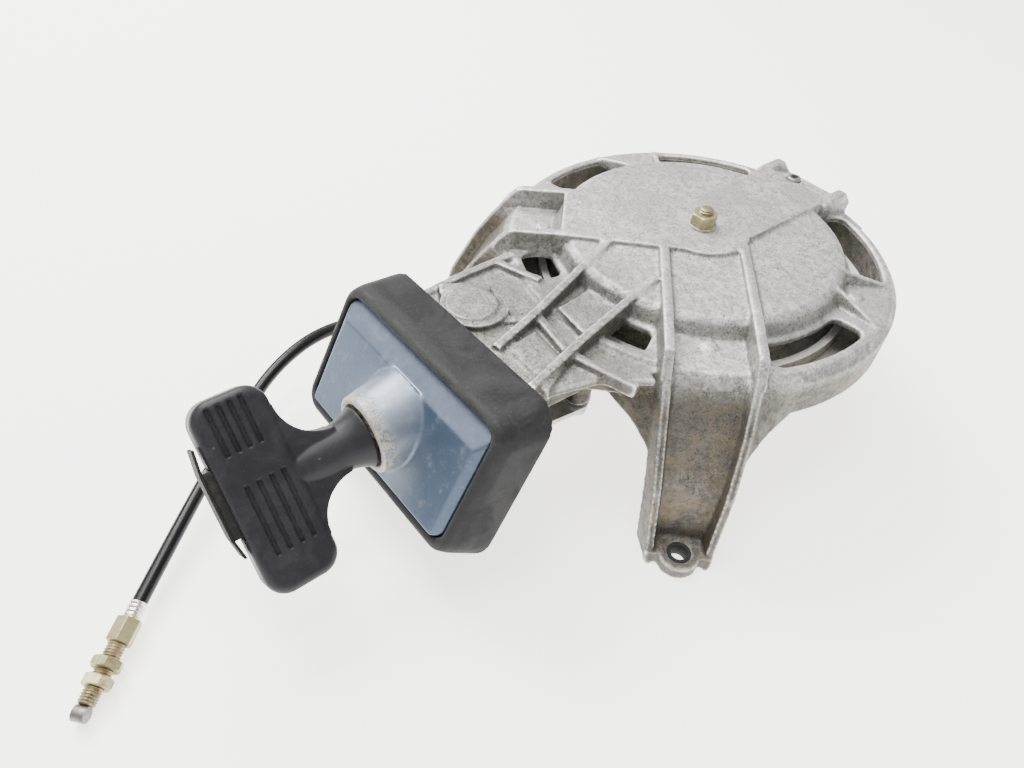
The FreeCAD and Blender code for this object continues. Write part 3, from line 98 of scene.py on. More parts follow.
class Paintbox:
    """Builds one node material: wraps the node tree with the few nodes that the finishes use."""

    def __init__(self, name: str) -> None:
        """Start a material with a principled shader.

        Args:
            name: The material's name.
        """
        self.material = bpy.data.materials.new(name)
        self.material.use_nodes = True
        self.tree = self.material.node_tree
        self.shader = self.tree.nodes["Principled BSDF"]
        self.place = self.tree.nodes.new("ShaderNodeTexCoord").outputs["Object"]

    def add(self, kind: str, **values: object) -> bpy.types.Node:
        """Add a node and set its properties.

        Args:
            kind: The node's type name.
            values: Properties to set on it.

        Returns:
            The node.
        """
        node = self.tree.nodes.new(kind)
        for key, value in values.items():
            setattr(node, key, value)
        return node

    def feed(self, socket: Socket, value: object) -> None:
        """Link or set one input, whichever the value is.

        Args:
            socket: The input.
            value: Another node's output, a number or a colour.
        """
        if isinstance(value, bpy.types.NodeSocket):
            self.tree.links.new(value, socket)
        elif isinstance(value, tuple) and len(value) == 3 and socket.type == "RGBA":
            socket.default_value = (*value, 1.0)
        else:
            socket.default_value = value

    def noise(self, scale: float, detail: float = 4.0, rough: float = 0.55, warp: float = 0.0,
              stretch: Sequence[float] | None = None) -> Socket:
        """A noise field from 0 to 1.

        Args:
            scale: Features per metre.
            detail: Octaves.
            rough: Share of the finer octaves.
            warp: Distortion.
            stretch: Scale of each axis first, if the grain has a direction.

        Returns:
            The value.
        """
        node = self.add("ShaderNodeTexNoise")
        node.inputs["Scale"].default_value = scale
        node.inputs["Detail"].default_value = detail
        node.inputs["Roughness"].default_value = rough
        node.inputs["Distortion"].default_value = warp
        self.feed(node.inputs["Vector"], self.stretched(stretch) if stretch else self.place)
        return node.outputs["Fac"]

    def stretched(self, stretch: Sequence[float]) -> Socket:
        """The place, scaled along each axis."""
        node = self.add("ShaderNodeMapping")
        node.inputs["Scale"].default_value = tuple(stretch)
        self.feed(node.inputs["Vector"], self.place)
        return node.outputs["Vector"]

    def cells(self, scale: float, wander: float = 1.0) -> Socket:
        """Distance to the nearest of scattered points, for pits and chips.

        Args:
            scale: Points per metre.
            wander: How uneven the points are, up to 1.

        Returns:
            The distance.
        """
        node = self.add("ShaderNodeTexVoronoi")
        node.inputs["Scale"].default_value = scale
        node.inputs["Randomness"].default_value = wander
        self.feed(node.inputs["Vector"], self.place)
        return node.outputs["Distance"]

    def step(self, value: Socket, low: float, high: float, out_low: float = 0.0,
             out_high: float = 1.0) -> Socket:
        """Map a value from one range to another, smoothly and clamped.

        Args:
            value: The value.
            low: Start of its range.
            high: End of its range.
            out_low: Result at the start.
            out_high: Result at the end.

        Returns:
            The mapped value.
        """
        node = self.add("ShaderNodeMapRange", interpolation_type="SMOOTHSTEP")
        self.feed(node.inputs["Value"], value)
        node.inputs["From Min"].default_value = low
        node.inputs["From Max"].default_value = high
        node.inputs["To Min"].default_value = out_low
        node.inputs["To Max"].default_value = out_high
        return node.outputs["Result"]

    def sum(self, operation: str, first: object, second: object = 0.0) -> Socket:
        """One arithmetic step on two values.

        Args:
            operation: The math node's operation, such as MULTIPLY.
            first: A value or number.
            second: A value or number.

        Returns:
            The result.
        """
        node = self.add("ShaderNodeMath", operation=operation)
        self.feed(node.inputs[0], first)
        self.feed(node.inputs[1], second)
        return node.outputs["Value"]

    def mix(self, share: object, under: object, over: object, mode: str = "MIX") -> Socket:
        """Lay one colour over another.

        Args:
            share: How much of the upper colour shows.
            under: The lower colour.
            over: The upper colour.
            mode: The blend mode.

        Returns:
            The colour.
        """
        node = self.add("ShaderNodeMix", data_type="RGBA", blend_type=mode)
        self.feed(node.inputs["Factor"], share)
        self.feed(node.inputs[6], under)
        self.feed(node.inputs[7], over)
        return node.outputs[2]

    def facing_up(self) -> Socket:
        """How far the surface faces up, from -1 to 1."""
        split = self.add("ShaderNodeSeparateXYZ")
        self.feed(split.inputs[0], self.add("ShaderNodeNewGeometry").outputs["Normal"])
        return split.outputs["Z"]

    def height(self) -> Socket:
        """Height in the part's frame, in metres."""
        split = self.add("ShaderNodeSeparateXYZ")
        self.feed(split.inputs[0], self.place)
        return split.outputs["Z"]

    def edges(self) -> Socket:
        """Over 0.5 on outward edges and under it in hollows."""
        return self.add("ShaderNodeNewGeometry").outputs["Pointiness"]

    def away_from(self, spot: Sequence[float]) -> Socket:
        """Distance from one spot of the frame.

        Args:
            spot: The spot.

        Returns:
            The distance in metres.
        """
        node = self.add("ShaderNodeVectorMath", operation="DISTANCE")
        self.feed(node.inputs[0], self.place)
        node.inputs[1].default_value = tuple(spot)
        return node.outputs["Value"]

    def bump(self, height: Socket, depth: float, strength: float = 1.0,
             onto: Socket | None = None) -> Socket:
        """Raise a height field on the surface.

        Args:
            height: The field, from 0 to 1.
            depth: What 1 stands for, in metres.
            strength: Share of the effect.
            onto: A normal to start from.

        Returns:
            The new normal.
        """
        node = self.add("ShaderNodeBump")
        node.inputs["Strength"].default_value = strength
        node.inputs["Distance"].default_value = depth
        self.feed(node.inputs["Height"], height)
        if onto is not None:
            self.feed(node.inputs["Normal"], onto)
        return node.outputs["Normal"]

    def finish(self, colour: object, rough: object, normal: Socket | None = None, metal: float = 0.0,
               coat: float = 0.0, coat_rough: float = 0.2, specular: float = 0.5) -> bpy.types.Material:
        """Set the shader and give the material.

        Args:
            colour: Base colour.
            rough: Roughness.
            normal: Surface normal, if it isn't the plain one.
            metal: Metallic share.
            coat: Clear coat's weight.
            coat_rough: Clear coat's roughness.
            specular: Specular level.

        Returns:
            The material.
        """
        self.feed(self.shader.inputs["Base Color"], colour)
        self.feed(self.shader.inputs["Roughness"], rough)
        self.shader.inputs["Metallic"].default_value = metal
        self.shader.inputs["Coat Weight"].default_value = coat
        self.shader.inputs["Coat Roughness"].default_value = coat_rough
        self.shader.inputs["Specular IOR Level"].default_value = specular
        if normal is not None:
            self.feed(self.shader.inputs["Normal"], normal)
        return self.material


@dataclass(frozen=True)
class CastAlloy:
    """Sand-textured aluminium casting: mottled, pitted and stained low down; painted shade on its steep
    faces, over the neck, low down and in its hollows; edges partly rubbed bright, partly painted highlight.
    """

    name: str
    light: Colour
    dark: Colour
    stain: Colour = (0.17, 0.135, 0.08)
    # Height below which the casting gets painted shade and real stains.
    shade_and_stain_below: float = 0.086
    metal: float = 0.55
    # Centre and reach of the painted shade over the neck.
    painted_shade_spot: tuple[float, float, float] = (0.004, -0.142, 0.088)
    painted_shade_reach: float = 0.052

    def make(self) -> bpy.types.Material:
        """The finish as a material."""
        box = Paintbox(self.name)
        mottle = box.noise(210, 9, 0.76, 0.15)
        fine = box.noise(900, 5, 0.72)
        cloud = box.noise(40, 5, 0.62, 0.2)
        soft_dark = tuple(0.6 * d + 0.4 * b for d, b in zip(self.dark, self.light))
        colour = box.mix(box.step(mottle, 0.42, 0.57), soft_dark, self.light)
        colour = box.mix(box.step(cloud, 0.42, 0.60, 0.0, 0.6), colour, tuple(0.60 * c for c in self.light))
        colour = box.mix(box.step(fine, 0.36, 0.47, 0.75, 0.0), colour, tuple(0.5 * c for c in self.dark))
        glint = tuple(min(1.0, 1.35 * c) for c in self.light)
        colour = box.mix(box.step(fine, 0.57, 0.65, 0.0, 0.6), colour, glint)
        pits = box.step(box.cells(560), 0.10, 0.28, 1.0, 0.0)
        pits = box.sum("MULTIPLY", pits, box.step(box.noise(120, 3, 0.6), 0.50, 0.60))
        colour = box.mix(box.sum("MULTIPLY", pits, 0.8), colour, (0.06, 0.058, 0.052))
        # Painted shade: faces that tilt away from straight up are darkened, to about half on the steepest.
        painted_slope_shade = box.step(box.facing_up(), 0.35, 0.90, 0.7, 0.0)
        colour = box.mix(painted_slope_shade, colour, (0.52, 0.51, 0.49), "MULTIPLY")
        # Painted shade over the neck: darkened near the shade spot, fading out by 1.7 times its reach.
        painted_neck_shade = box.step(box.away_from(self.painted_shade_spot), self.painted_shade_reach, 1.7 * self.painted_shade_reach, 0.85, 0.0)
        colour = box.mix(painted_neck_shade, colour, (0.38, 0.37, 0.35), "MULTIPLY")
        # Painted shade low down: everything below this height is darkened; the same low mask also carries
        # the real stain patches.
        low = box.step(box.height(), self.shade_and_stain_below - 0.010, self.shade_and_stain_below + 0.004, 1.0, 0.0)
        colour = box.mix(box.sum("MULTIPLY", low, 0.9), colour, (0.22, 0.207, 0.18), "MULTIPLY")
        patch = box.step(box.noise(42, 6, 0.68, 0.8), 0.46, 0.62)
        colour = box.mix(box.sum("MULTIPLY", box.sum("MULTIPLY", low, patch), 0.5), colour, self.stain)
        # Pale edges: partly rubbed wear, partly painted highlight on the outward edges.
        bright = box.sum("MULTIPLY", box.step(box.edges(), 0.509, 0.555),
                         box.step(mottle, 0.36, 0.5, 0.45, 1.0))
        colour = box.mix(box.sum("MULTIPLY", bright, 0.85), colour, (0.86, 0.855, 0.84))
        # Painted shade: hollows darkened to near black.
        colour = box.mix(box.step(box.edges(), 0.44, 0.497, 0.85, 0.0), colour, (0.06, 0.057, 0.05))
        rough = box.step(mottle, 0.35, 0.65, 0.56, 0.38)
        normal = box.bump(box.noise(240, 5, 0.6), 0.0008, 0.6)
        normal = box.bump(fine, 0.0004, 0.75, normal)
        normal = box.bump(pits, -0.0004, 0.8, normal)
        return box.finish(colour, rough, normal, self.metal)


@dataclass(frozen=True)
class MetallicPaint:
    """Satin metallic paint with dust, a painted reflection on faces that look up, and chips down to a pale
    primer round one spot.
    """

    name: str
    paint: Colour
    chip: Colour
    chip_spot: tuple[float, float, float]
    chip_reach: float

    def make(self) -> bpy.types.Material:
        """The finish as a material."""
        box = Paintbox(self.name)
        flake = box.noise(3600, 2, 0.5)
        dust = box.noise(150, 6, 0.72)
        colour = box.mix(box.step(flake, 0.40, 0.62, 0.0, 0.5), self.paint,
                         tuple(1.5 * c for c in self.paint))
        colour = box.mix(box.step(dust, 0.50, 0.74, 0.0, 0.25), colour, (0.36, 0.38, 0.40))
        # Painted reflection: faces that look up are lightened toward a pale blue, as if catching the
        # overhead light.
        up = box.step(box.facing_up(), 0.45, 0.90, 0.0, 0.45)
        colour = box.mix(up, colour, (0.26, 0.31, 0.39))
        rubbed = box.step(box.away_from(self.chip_spot), self.chip_reach, 2.0 * self.chip_reach, 0.3, 0.0)
        colour = box.mix(rubbed, colour, (0.38, 0.42, 0.47))
        speck = box.step(box.cells(620), 0.04, 0.11, 1.0, 0.0)
        speck = box.sum("MULTIPLY", speck, box.step(box.noise(90, 3, 0.5), 0.54, 0.66))
        colour = box.mix(box.sum("MULTIPLY", speck, 0.6), colour, (0.55, 0.54, 0.50))
        near = box.step(box.away_from(self.chip_spot), self.chip_reach * 0.96, self.chip_reach * 1.2,
                        1.0, 0.0)
        flaked = box.step(box.noise(420, 6, 0.8, 0.8), 0.47, 0.51)
        worn = box.step(box.edges(), 0.512, 0.545)
        chips = box.sum("MULTIPLY", near, box.sum("MAXIMUM", flaked, worn))
        chips = box.sum("MAXIMUM", chips, box.sum("MULTIPLY", box.step(box.edges(), 0.54, 0.58), flaked))
        colour = box.mix(chips, colour, self.chip)
        rough = box.sum("ADD", box.step(dust, 0.3, 0.7, 0.36, 0.52), box.sum("MULTIPLY", chips, 0.2))
        normal = box.bump(box.noise(900, 3, 0.5), 0.00012, 0.35)
        normal = box.bump(chips, -0.00025, 0.8, normal)
        return box.finish(colour, rough, normal, 0.5, 0.1, 0.25)


@dataclass(frozen=True)
class DustyRubber:
    """Matt black rubber with grey dust where it faces up."""

    name: str
    rubber: Colour
    dust: Colour
    share: float = 0.5
    rough: float = 0.72

    def make(self) -> bpy.types.Material:
        """The finish as a material."""
        box = Paintbox(self.name)
        film = box.step(box.noise(45, 6, 0.7, 0.6), 0.36, 0.72)
        up = box.step(box.facing_up(), -0.1, 0.95, 0.30, 1.0)
        speck = box.step(box.noise(700, 4, 0.65), 0.54, 0.68)
        share = box.sum("MULTIPLY", box.sum("MULTIPLY", film, up), self.share)
        share = box.sum("ADD", share, box.sum("MULTIPLY", speck, box.sum("MULTIPLY", up, 0.20)))
        colour = box.mix(share, self.rubber, self.dust)
        # Painted highlight: outward edges are lightened toward the dust colour.
        colour = box.mix(box.step(box.edges(), 0.51, 0.55, 0.0, 0.45), colour, self.dust)
        rough = box.step(film, 0.0, 1.0, self.rough - 0.12, self.rough + 0.14)
        normal = box.bump(box.noise(1100, 4, 0.6), 0.00018, 0.5)
        return box.finish(colour, rough, normal, 0.0, 0.0, 0.2, 0.25)


@dataclass(frozen=True)
class SoftGrip:
    """Smooth moulded black grip, handled to a satin sheen, scuffed on its rims and with painted shade in its
    hollows.
    """

    name: str
    body: Colour
    scuff: Colour

    def make(self) -> bpy.types.Material:
        """The finish as a material."""
        box = Paintbox(self.name)
        film = box.noise(70, 6, 0.68, 0.5)
        fine = box.noise(1300, 3, 0.6)
        colour = box.mix(box.step(film, 0.38, 0.70, 0.0, 0.45), self.body, tuple(2.1 * c for c in self.body))
        rubbed = box.sum("MULTIPLY", box.step(box.edges(), 0.53, 0.60),
                         box.step(box.noise(150, 5, 0.7), 0.5, 0.64))
        colour = box.mix(box.sum("MULTIPLY", rubbed, 0.5), colour, self.scuff)
        # Painted shade: hollows darkened to near black.
        colour = box.mix(box.step(box.edges(), 0.44, 0.492, 0.85, 0.0), colour, (0.004, 0.004, 0.004))
        speck = box.step(fine, 0.66, 0.74, 0.0, 0.22)
        colour = box.mix(speck, colour, self.scuff)
        rough = box.step(film, 0.32, 0.72, 0.36, 0.52)
        normal = box.bump(fine, 0.0001, 0.4)
        return box.finish(colour, rough, normal, 0.0, 0.0, 0.35, 0.16)


@dataclass(frozen=True)
class PlatedMetal:
    """A plated or bare metal part with tarnish, fine wear and brighter edges."""

    name: str
    plating: Plating
    turned: bool = False

    def make(self) -> bpy.types.Material:
        """The finish as a material."""
        light, dark, rough, tarnish = self.plating.value
        box = Paintbox(self.name)
        blotch = box.noise(210, 6, 0.7, 0.5)
        fine = box.noise(1900, 3, 0.6)
        streak = box.noise(700, 3, 0.5, 0.0, (1.0, 1.0, 6.0)) if self.turned else fine
        colour = box.mix(box.step(blotch, 0.42, 0.70, 0.0, min(1.0, 2 * tarnish)), light, dark)
        colour = box.mix(box.step(fine, 0.58, 0.72, 0.0, 0.4), colour, tuple(0.6 * c for c in dark))
        colour = box.mix(box.step(box.edges(), 0.52, 0.60, 0.0, 0.5), colour,
                         tuple(min(1.0, 1.3 * c) for c in light))
        shine = box.step(blotch, 0.3, 0.75, rough - 0.06, rough + 0.22)
        normal = box.bump(streak, 0.00008, 0.5)
        return box.finish(colour, shine, normal, 0.88)


@dataclass(frozen=True)
class Sheath:
    """Glossy extruded cable sheath with faint lengthwise scratches."""

    name: str
    body: Colour = (0.008, 0.008, 0.009)

    def make(self) -> bpy.types.Material:
        """The finish as a material."""
        box = Paintbox(self.name)
        scuff = box.step(box.noise(320, 6, 0.75, 1.2), 0.60, 0.74)
        film = box.noise(60, 5, 0.6)
        colour = box.mix(box.sum("MULTIPLY", scuff, 0.16), self.body, (0.16, 0.16, 0.16))
        rough = box.step(film, 0.3, 0.75, 0.24, 0.40)
        normal = box.bump(box.noise(500, 4, 0.6), 0.0001, 0.4)
        return box.finish(colour, rough, normal, 0.0, 0.08, 0.12, 0.2)


@dataclass(frozen=True)
class MouldedPlastic:
    """Plain moulded plastic with a fine texture and some dirt."""

    name: str
    body: Colour
    dirt: Colour
    rough: float = 0.45
    specular: float = 0.5

    def make(self) -> bpy.types.Material:
        """The finish as a material."""
        box = Paintbox(self.name)
        film = box.step(box.noise(130, 6, 0.7, 0.5), 0.46, 0.72)
        colour = box.mix(box.sum("MULTIPLY", film, 0.4), self.body, self.dirt)
        rough = box.step(film, 0.0, 1.0, self.rough, self.rough + 0.2)
        normal = box.bump(box.noise(1600, 3, 0.6), 0.00008, 0.5)
        return box.finish(colour, rough, normal, specular=self.specular)


@dataclass(frozen=True)
class BraidedCord:
    """Braided nylon rope, off-white and handled grey, with painted shade in the braid's hollows."""

    name: str
    fibre: Colour = (0.62, 0.60, 0.54)
    grime_and_hollow_shade: Colour = (0.17, 0.15, 0.12)

    def make(self) -> bpy.types.Material:
        """The finish as a material."""
        box = Paintbox(self.name)
        dirt = box.step(box.noise(140, 6, 0.7), 0.4, 0.7)
        fuzz = box.noise(4200, 3, 0.6)
        # Painted shade: the braid's hollows are darkened toward the grime colour.
        hollow = box.step(box.edges(), 0.45, 0.51, 0.75, 0.0)
        colour = box.mix(box.sum("MULTIPLY", dirt, 0.6), self.fibre, self.grime_and_hollow_shade)
        colour = box.mix(hollow, colour, self.grime_and_hollow_shade)
        normal = box.bump(fuzz, 0.0002, 0.7)
        return box.finish(colour, 0.82, normal, 0.0, 0.0, 0.2, 0.3)


class Finishes:
    """Every finish of the starter, made once and given by the record's slot names."""

    def __init__(self, mouth: Sequence[float]) -> None:
        """Make the materials.

        Args:
            mouth: Centre of the face plate's mouth, where its paint is chipped.
        """
        recipes = {
            "cast_aluminium": CastAlloy("cast_aluminium", (0.64, 0.63, 0.61), (0.15, 0.146, 0.137)),
            # drum_metal: the casting's finish made paler, as painted light lifting the drum out of the shade
            # under the case; its neck shade and low shade are set out of reach.
            "drum_metal": CastAlloy("drum_metal", (0.85, 0.80, 0.72), (0.50, 0.46, 0.40), shade_and_stain_below=0.0,
                                    painted_shade_spot=(0.0, 0.0, -1.0), metal=0.1),
            "black_rubber": DustyRubber("black_rubber", (0.0095, 0.0095, 0.0112), (0.064, 0.063, 0.063)),
            "grip_rubber": SoftGrip("grip_rubber", (0.020, 0.0198, 0.0225), (0.14, 0.135, 0.13)),
            "blue_paint": MetallicPaint("blue_paint", (0.055, 0.082, 0.128), (0.50, 0.455, 0.38),
                                        tuple(mouth), 19 * MM),
            "zinc_steel": PlatedMetal("zinc_steel", Plating.ZINC),
            "yellow_zinc": PlatedMetal("yellow_zinc", Plating.YELLOW),
            "browned_thread": PlatedMetal("browned_thread", Plating.BROWNED),
            "crimped_tin": PlatedMetal("crimped_tin", Plating.TIN, turned=True),
            "spring_steel": PlatedMetal("spring_steel", Plating.SPRING),
            "hardened_steel": PlatedMetal("hardened_steel", Plating.HARDENED),
            "wire_steel": PlatedMetal("wire_steel", Plating.WIRE),
            "bronze": PlatedMetal("bronze", Plating.BRONZE, turned=True),
            "cable_sheath": Sheath("cable_sheath"),
            "black_plastic": MouldedPlastic("black_plastic", (0.012, 0.012, 0.012),
                                            (0.06, 0.057, 0.053), 0.5, 0.3),
            "black_steel": MouldedPlastic("black_steel", (0.012, 0.012, 0.013),
                                          (0.06, 0.055, 0.05), 0.62, 0.2),
            "white_nylon": MouldedPlastic("white_nylon", (0.66, 0.64, 0.56), (0.30, 0.27, 0.21)),
            "rope_nylon": BraidedCord("rope_nylon"),
        }
        self.made = {slot: recipe.make() for slot, recipe in recipes.items()}
        self.slot_of = {row["node"]: row["material_slot"] for row in frame["record"]["subparts"]}

    def put(self, piece: bpy.types.Object, slot: str) -> None:
        """Give a new piece one finish all over.

        Args:
            piece: The piece.
            slot: The finish.
        """
        piece.data.materials.clear()
        piece.data.materials.append(self.made[slot])

    def dress_node(self, node: str, slot: str | None = None) -> None:
        """Give a rigid part its finish, by its slot in the record unless another is named.

        Args:
            node: The part's node.
            slot: The finish, if it isn't the record's.
        """
        part = frame["nodes"][node]
        chosen = self.made[slot or self.slot_of[node]]
        if not part.material_slots:
            part.data.materials.append(chosen)
        for place in part.material_slots:
            place.material = chosen


# ---------------------------------------------------------------- mesh work


def piece_from(name: str, points: Sequence[Sequence[float]],
               faces: Sequence[Sequence[int]]) -> bpy.types.Object:
    """A mesh object in the scene, shaded smooth.

    Args:
        name: The piece's name.
        points: Its vertices.
        faces: Its faces.

    Returns:
        The object.
    """
    mesh = bpy.data.meshes.new(name)
    mesh.from_pydata([tuple(p) for p in points], [], [tuple(f) for f in faces])
    mesh.update()
    piece = bpy.data.objects.new(name, mesh)
    bpy.context.scene.collection.objects.link(piece)
    mesh.polygons.foreach_set("use_smooth", [True] * len(mesh.polygons))
    return piece


def freeze(piece: bpy.types.Object) -> None:
    """Apply a piece's modifiers to its mesh.

    Args:
        piece: The piece.
    """
    bpy.context.view_layer.update()
    shown = piece.evaluated_get(bpy.context.evaluated_depsgraph_get())
    made = bpy.data.meshes.new_from_object(shown)
    old = piece.data
    piece.modifiers.clear()
    piece.data = made
    bpy.data.meshes.remove(old)
    made.polygons.foreach_set("use_smooth", [True] * len(made.polygons))


def joined_mesh(name: str, nodes: Sequence[str]) -> bpy.types.Mesh:
    """One mesh of several rigid parts that touch.

    Args:
        name: The mesh's name.
        nodes: The parts' nodes.

    Returns:
        The mesh.
    """
    points: list[Vector] = []
    faces: list[list[int]] = []
    for node in nodes:
        part = frame["nodes"][node]
        first = len(points)
        points += [part.matrix_world @ corner.co for corner in part.data.vertices]
        faces += [[first + i for i in face.vertices] for face in part.data.polygons]
    mesh = bpy.data.meshes.new(name)
    mesh.from_pydata(points, [], faces)
    mesh.update()
    return mesh


def skin_over(nodes: Sequence[str], name: str, grade: Grade) -> bpy.types.Object:
    """A finished skin in the shape of rigid parts, with the soft edges of their making.

    Args:
        nodes: The parts' nodes.
        name: The new piece's name.
        grade: How finely it is drawn and how far its edges are rounded.

    Returns:
        The piece, which replaces the nodes.
    """
    voxel, rounds, most = grade.value
    piece = bpy.data.objects.new(name, joined_mesh(name, nodes))
    bpy.context.scene.collection.objects.link(piece)
    drawn = piece.modifiers.new("drawn", "REMESH")
    drawn.mode = "VOXEL"
    drawn.voxel_size = voxel * MM
    drawn.use_smooth_shade = True
    eased = piece.modifiers.new("eased", "SMOOTH")
    eased.factor = 0.5
    eased.iterations = rounds
    freeze(piece)
    triangles = sum(len(p.vertices) - 2 for p in piece.data.polygons)
    if triangles > most:
        thinned = piece.modifiers.new("thinned", "DECIMATE")
        thinned.ratio = most / triangles
        freeze(piece)
    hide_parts(*nodes)
    return piece


def turned_frame(start: Vector, along: Vector) -> Matrix:
    """A frame at a point, with Z along a direction and X as level as it can be.

    Args:
        start: The frame's origin.
        along: Its Z axis.

    Returns:
        The frame.
    """
    up = along.normalized()
    side = Vector((0, 0, 1)).cross(up)
    side = side.normalized() if side.length > 1e-6 else Vector((1, 0, 0))
    turned = Matrix((side, up.cross(side), up)).transposed().to_4x4()
    return Matrix.Translation(start) @ turned


def wall_of_rows(rows: Sequence[Sequence[Vector]],
                 closed_ends: bool) -> tuple[list[Vector], list[list[int]]]:
    """Faces between rings of points that follow each other.

    Args:
        rows: Rings with the same number of points.
        closed_ends: Whether the first and last ring are capped.

    Returns:
        The points and the faces.
    """
    around = len(rows[0])
    points = [p for row in rows for p in row]
    faces = []
    for k in range(len(rows) - 1):
        for i in range(around):
            j = (i + 1) % around
            faces.append([k * around + i, k * around + j, (k + 1) * around + j, (k + 1) * around + i])
    if closed_ends:
        faces.append(list(range(around))[::-1])
        faces.append([(len(rows) - 1) * around + i for i in range(around)])
    return points, faces


def lathe(name: str, place: Matrix, profile: Sequence[tuple[float, float]], around: int,
          reach: Callable[[float, float], float] | None = None) -> bpy.types.Object:
    """A turned piece.

    Args:
        name: The piece's name.
        place: Its frame; it is turned about Z.
        profile: Radius and height of each ring, both in metres.
        around: Points in a ring.
        reach: Adds to the radius, from the turn (radians) and the height.

    Returns:
        The piece.
    """
    rows = []
    for radius, height in profile:
        row = []
        for i in range(around):
            turn = 2 * math.pi * i / around
            wide = radius + (reach(turn, height) if reach else 0.0)
            row.append(place @ Vector((wide * math.cos(turn), wide * math.sin(turn), height)))
        rows.append(row)
    points, faces = wall_of_rows(rows, True)
    return piece_from(name, points, faces)


@dataclass(frozen=True)
class Thread:
    """A metric screw thread on a rod."""

    radius: float
    pitch: float = 1.25 * MM
    depth: float = 0.68 * MM
    around: int = 40
    per_pitch: int = 8

    def rows(self, place: Matrix, start: float, end: float) -> list[list[Vector]]:
        """Rings of the thread between two heights, chamfered at the upper end.

        Args:
            place: The rod's frame.
            start: Lower height.
            end: Upper height.

        Returns:
            The rings.
        """
        count = round((end - start) / self.pitch * self.per_pitch)
        rings = []
        for k in range(count + 1):
            height = start + (end - start) * k / count
            lead = min(1.0, (end - height) / (0.8 * MM))
            ring = []
            for i in range(self.around):
                turn = 2 * math.pi * i / self.around
                share = (height / self.pitch - i / self.around) % 1.0
                crest = 1 - min(1.0, max(0.0, abs(share - 0.5) * 2.6 - 0.15))
                wide = self.radius - self.depth * (1 - crest) - 0.7 * MM * (1 - lead) * crest
                ring.append(place @ Vector((wide * math.cos(turn), wide * math.sin(turn), height)))
            rings.append(ring)
        return rings


def soften(node: str, width: float = 0.25 * MM) -> None:
    """Round the sharp edges of a rigid part as it is shown.

    Args:
        node: The part's node.
        width: How wide the rounding is.
    """
    part = frame["nodes"][node]
    weld = part.modifiers.new("weld", "WELD")
    weld.merge_threshold = 1e-6
    bevel = part.modifiers.new("broken_edges", "BEVEL")
    bevel.width = width
    bevel.segments = 2
    bevel.limit_method = "ANGLE"
    bevel.angle_limit = math.radians(28)
    bevel.harden_normals = False


# ---------------------------------------------------------------- sub-assemblies


@dataclass
class CastCase:
    """The ribbed casting with its legs and neck."""

    nodes: tuple[str, ...] = ("starter_case", "case_neck",
                              "case_leg_front", "case_leg_left", "case_leg_rear")
    body: str = "case"

    def build(self, finishes: Finishes) -> list[bpy.types.Object]:
        """Draw the casting.

        Args:
            finishes: The starter's finishes.

        Returns:
            The pieces made.
        """
        casting = skin_over(self.nodes, "casting", Grade.CASTING)
        finishes.put(casting, "cast_aluminium")
        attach(casting, self.body)
        for node in ("foot_collars", "case_screw", "retainer_washer", "nut_washer", "bearing_sleeve",
                     "roller_pin", "lever_pivot", "plate_screws"):
            finishes.dress_node(node, "hardened_steel" if node == "case_screw" else None)
            soften(node, 0.2 * MM)
        return [casting]


@dataclass
class CentreBolt:
    """The shaft bolt with its real thread, and the nut on it."""

    node: str = "centre_bolt"
    head_tall: float = 5.3 * MM
    thread_long: float = 18 * MM
    shank_inset: float = 0.06 * MM

    def build(self, finishes: Finishes) -> list[bpy.types.Object]:
        """Build the bolt in its place and dress the nut.

        Args:
            finishes: The starter's finishes.

        Returns:
            The pieces made.
        """
        low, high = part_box(self.node)
        flats = high.y - low.y
        radius = 4.0 * MM
        place = Matrix.Translation((0, 0, 0))
        thread = Thread(radius)
        rows = self.head_rows(low.z, flats, thread.around)
        neck = low.z + self.head_tall
        shank = radius - self.shank_inset
        for height in (neck, neck + 0.1 * MM, high.z - self.thread_long - 0.1 * MM):
            rows.append([Vector((shank * math.cos(2 * math.pi * i / thread.around),
                                 shank * math.sin(2 * math.pi * i / thread.around), height))
                         for i in range(thread.around)])
        rows += thread.rows(place, high.z - self.thread_long, high.z)
        points, faces = wall_of_rows(rows, True)
        bolt = piece_from("shaft_bolt", points, faces)
        finishes.put(bolt, "browned_thread")
        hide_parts(self.node)
        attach(bolt, "case")
        finishes.dress_node("centre_nut")
        soften("centre_nut", 0.3 * MM)
        return [bolt]

    def head_rows(self, low: float, flats: float, around: int) -> list[list[Vector]]:
        """Rings of the hexagon head, which is at the bolt's lower end.

        Args:
            low: Height of the head's underside.
            flats: Width across the flats.
            around: Points in a ring.

        Returns:
            The rings.
        """
        rows = []
        for height, share in ((low, 0.86), (low + 0.5 * MM, 1.0), (low + self.head_tall - 0.1 * MM, 1.0),
                              (low + self.head_tall - 0.05 * MM, 0.95)):
            row = []
            for i in range(around):
                turn = 2 * math.pi * i / around
                side = (turn + math.pi / 6 + math.pi / 6) % (math.pi / 3) - math.pi / 6
                wide = min(flats / 2 / math.cos(side), flats / 2 * 1.11) * share
                row.append(Vector((wide * math.cos(turn), wide * math.sin(turn), height)))
            rows.append(row)
        return rows


@dataclass
class FacePlate:
    """The painted plate, its eyelet, and the rubber seal round it."""

    def build(self, finishes: Finishes) -> list[bpy.types.Object]:
        """Draw the plate and the seal.

        Args:
            finishes: The starter's finishes.

        Returns:
            The pieces made.
        """
        plate = skin_over(("face_plate",), "painted_plate", Grade.PAINTED)
        finishes.put(plate, "blue_paint")
        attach(plate, "case")
        seal = skin_over(("rubber_seal",), "seal_boot", Grade.RUBBER)
        finishes.put(seal, "black_rubber")
        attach(seal, "case")
        finishes.dress_node("rope_bush")
        return [plate, seal]


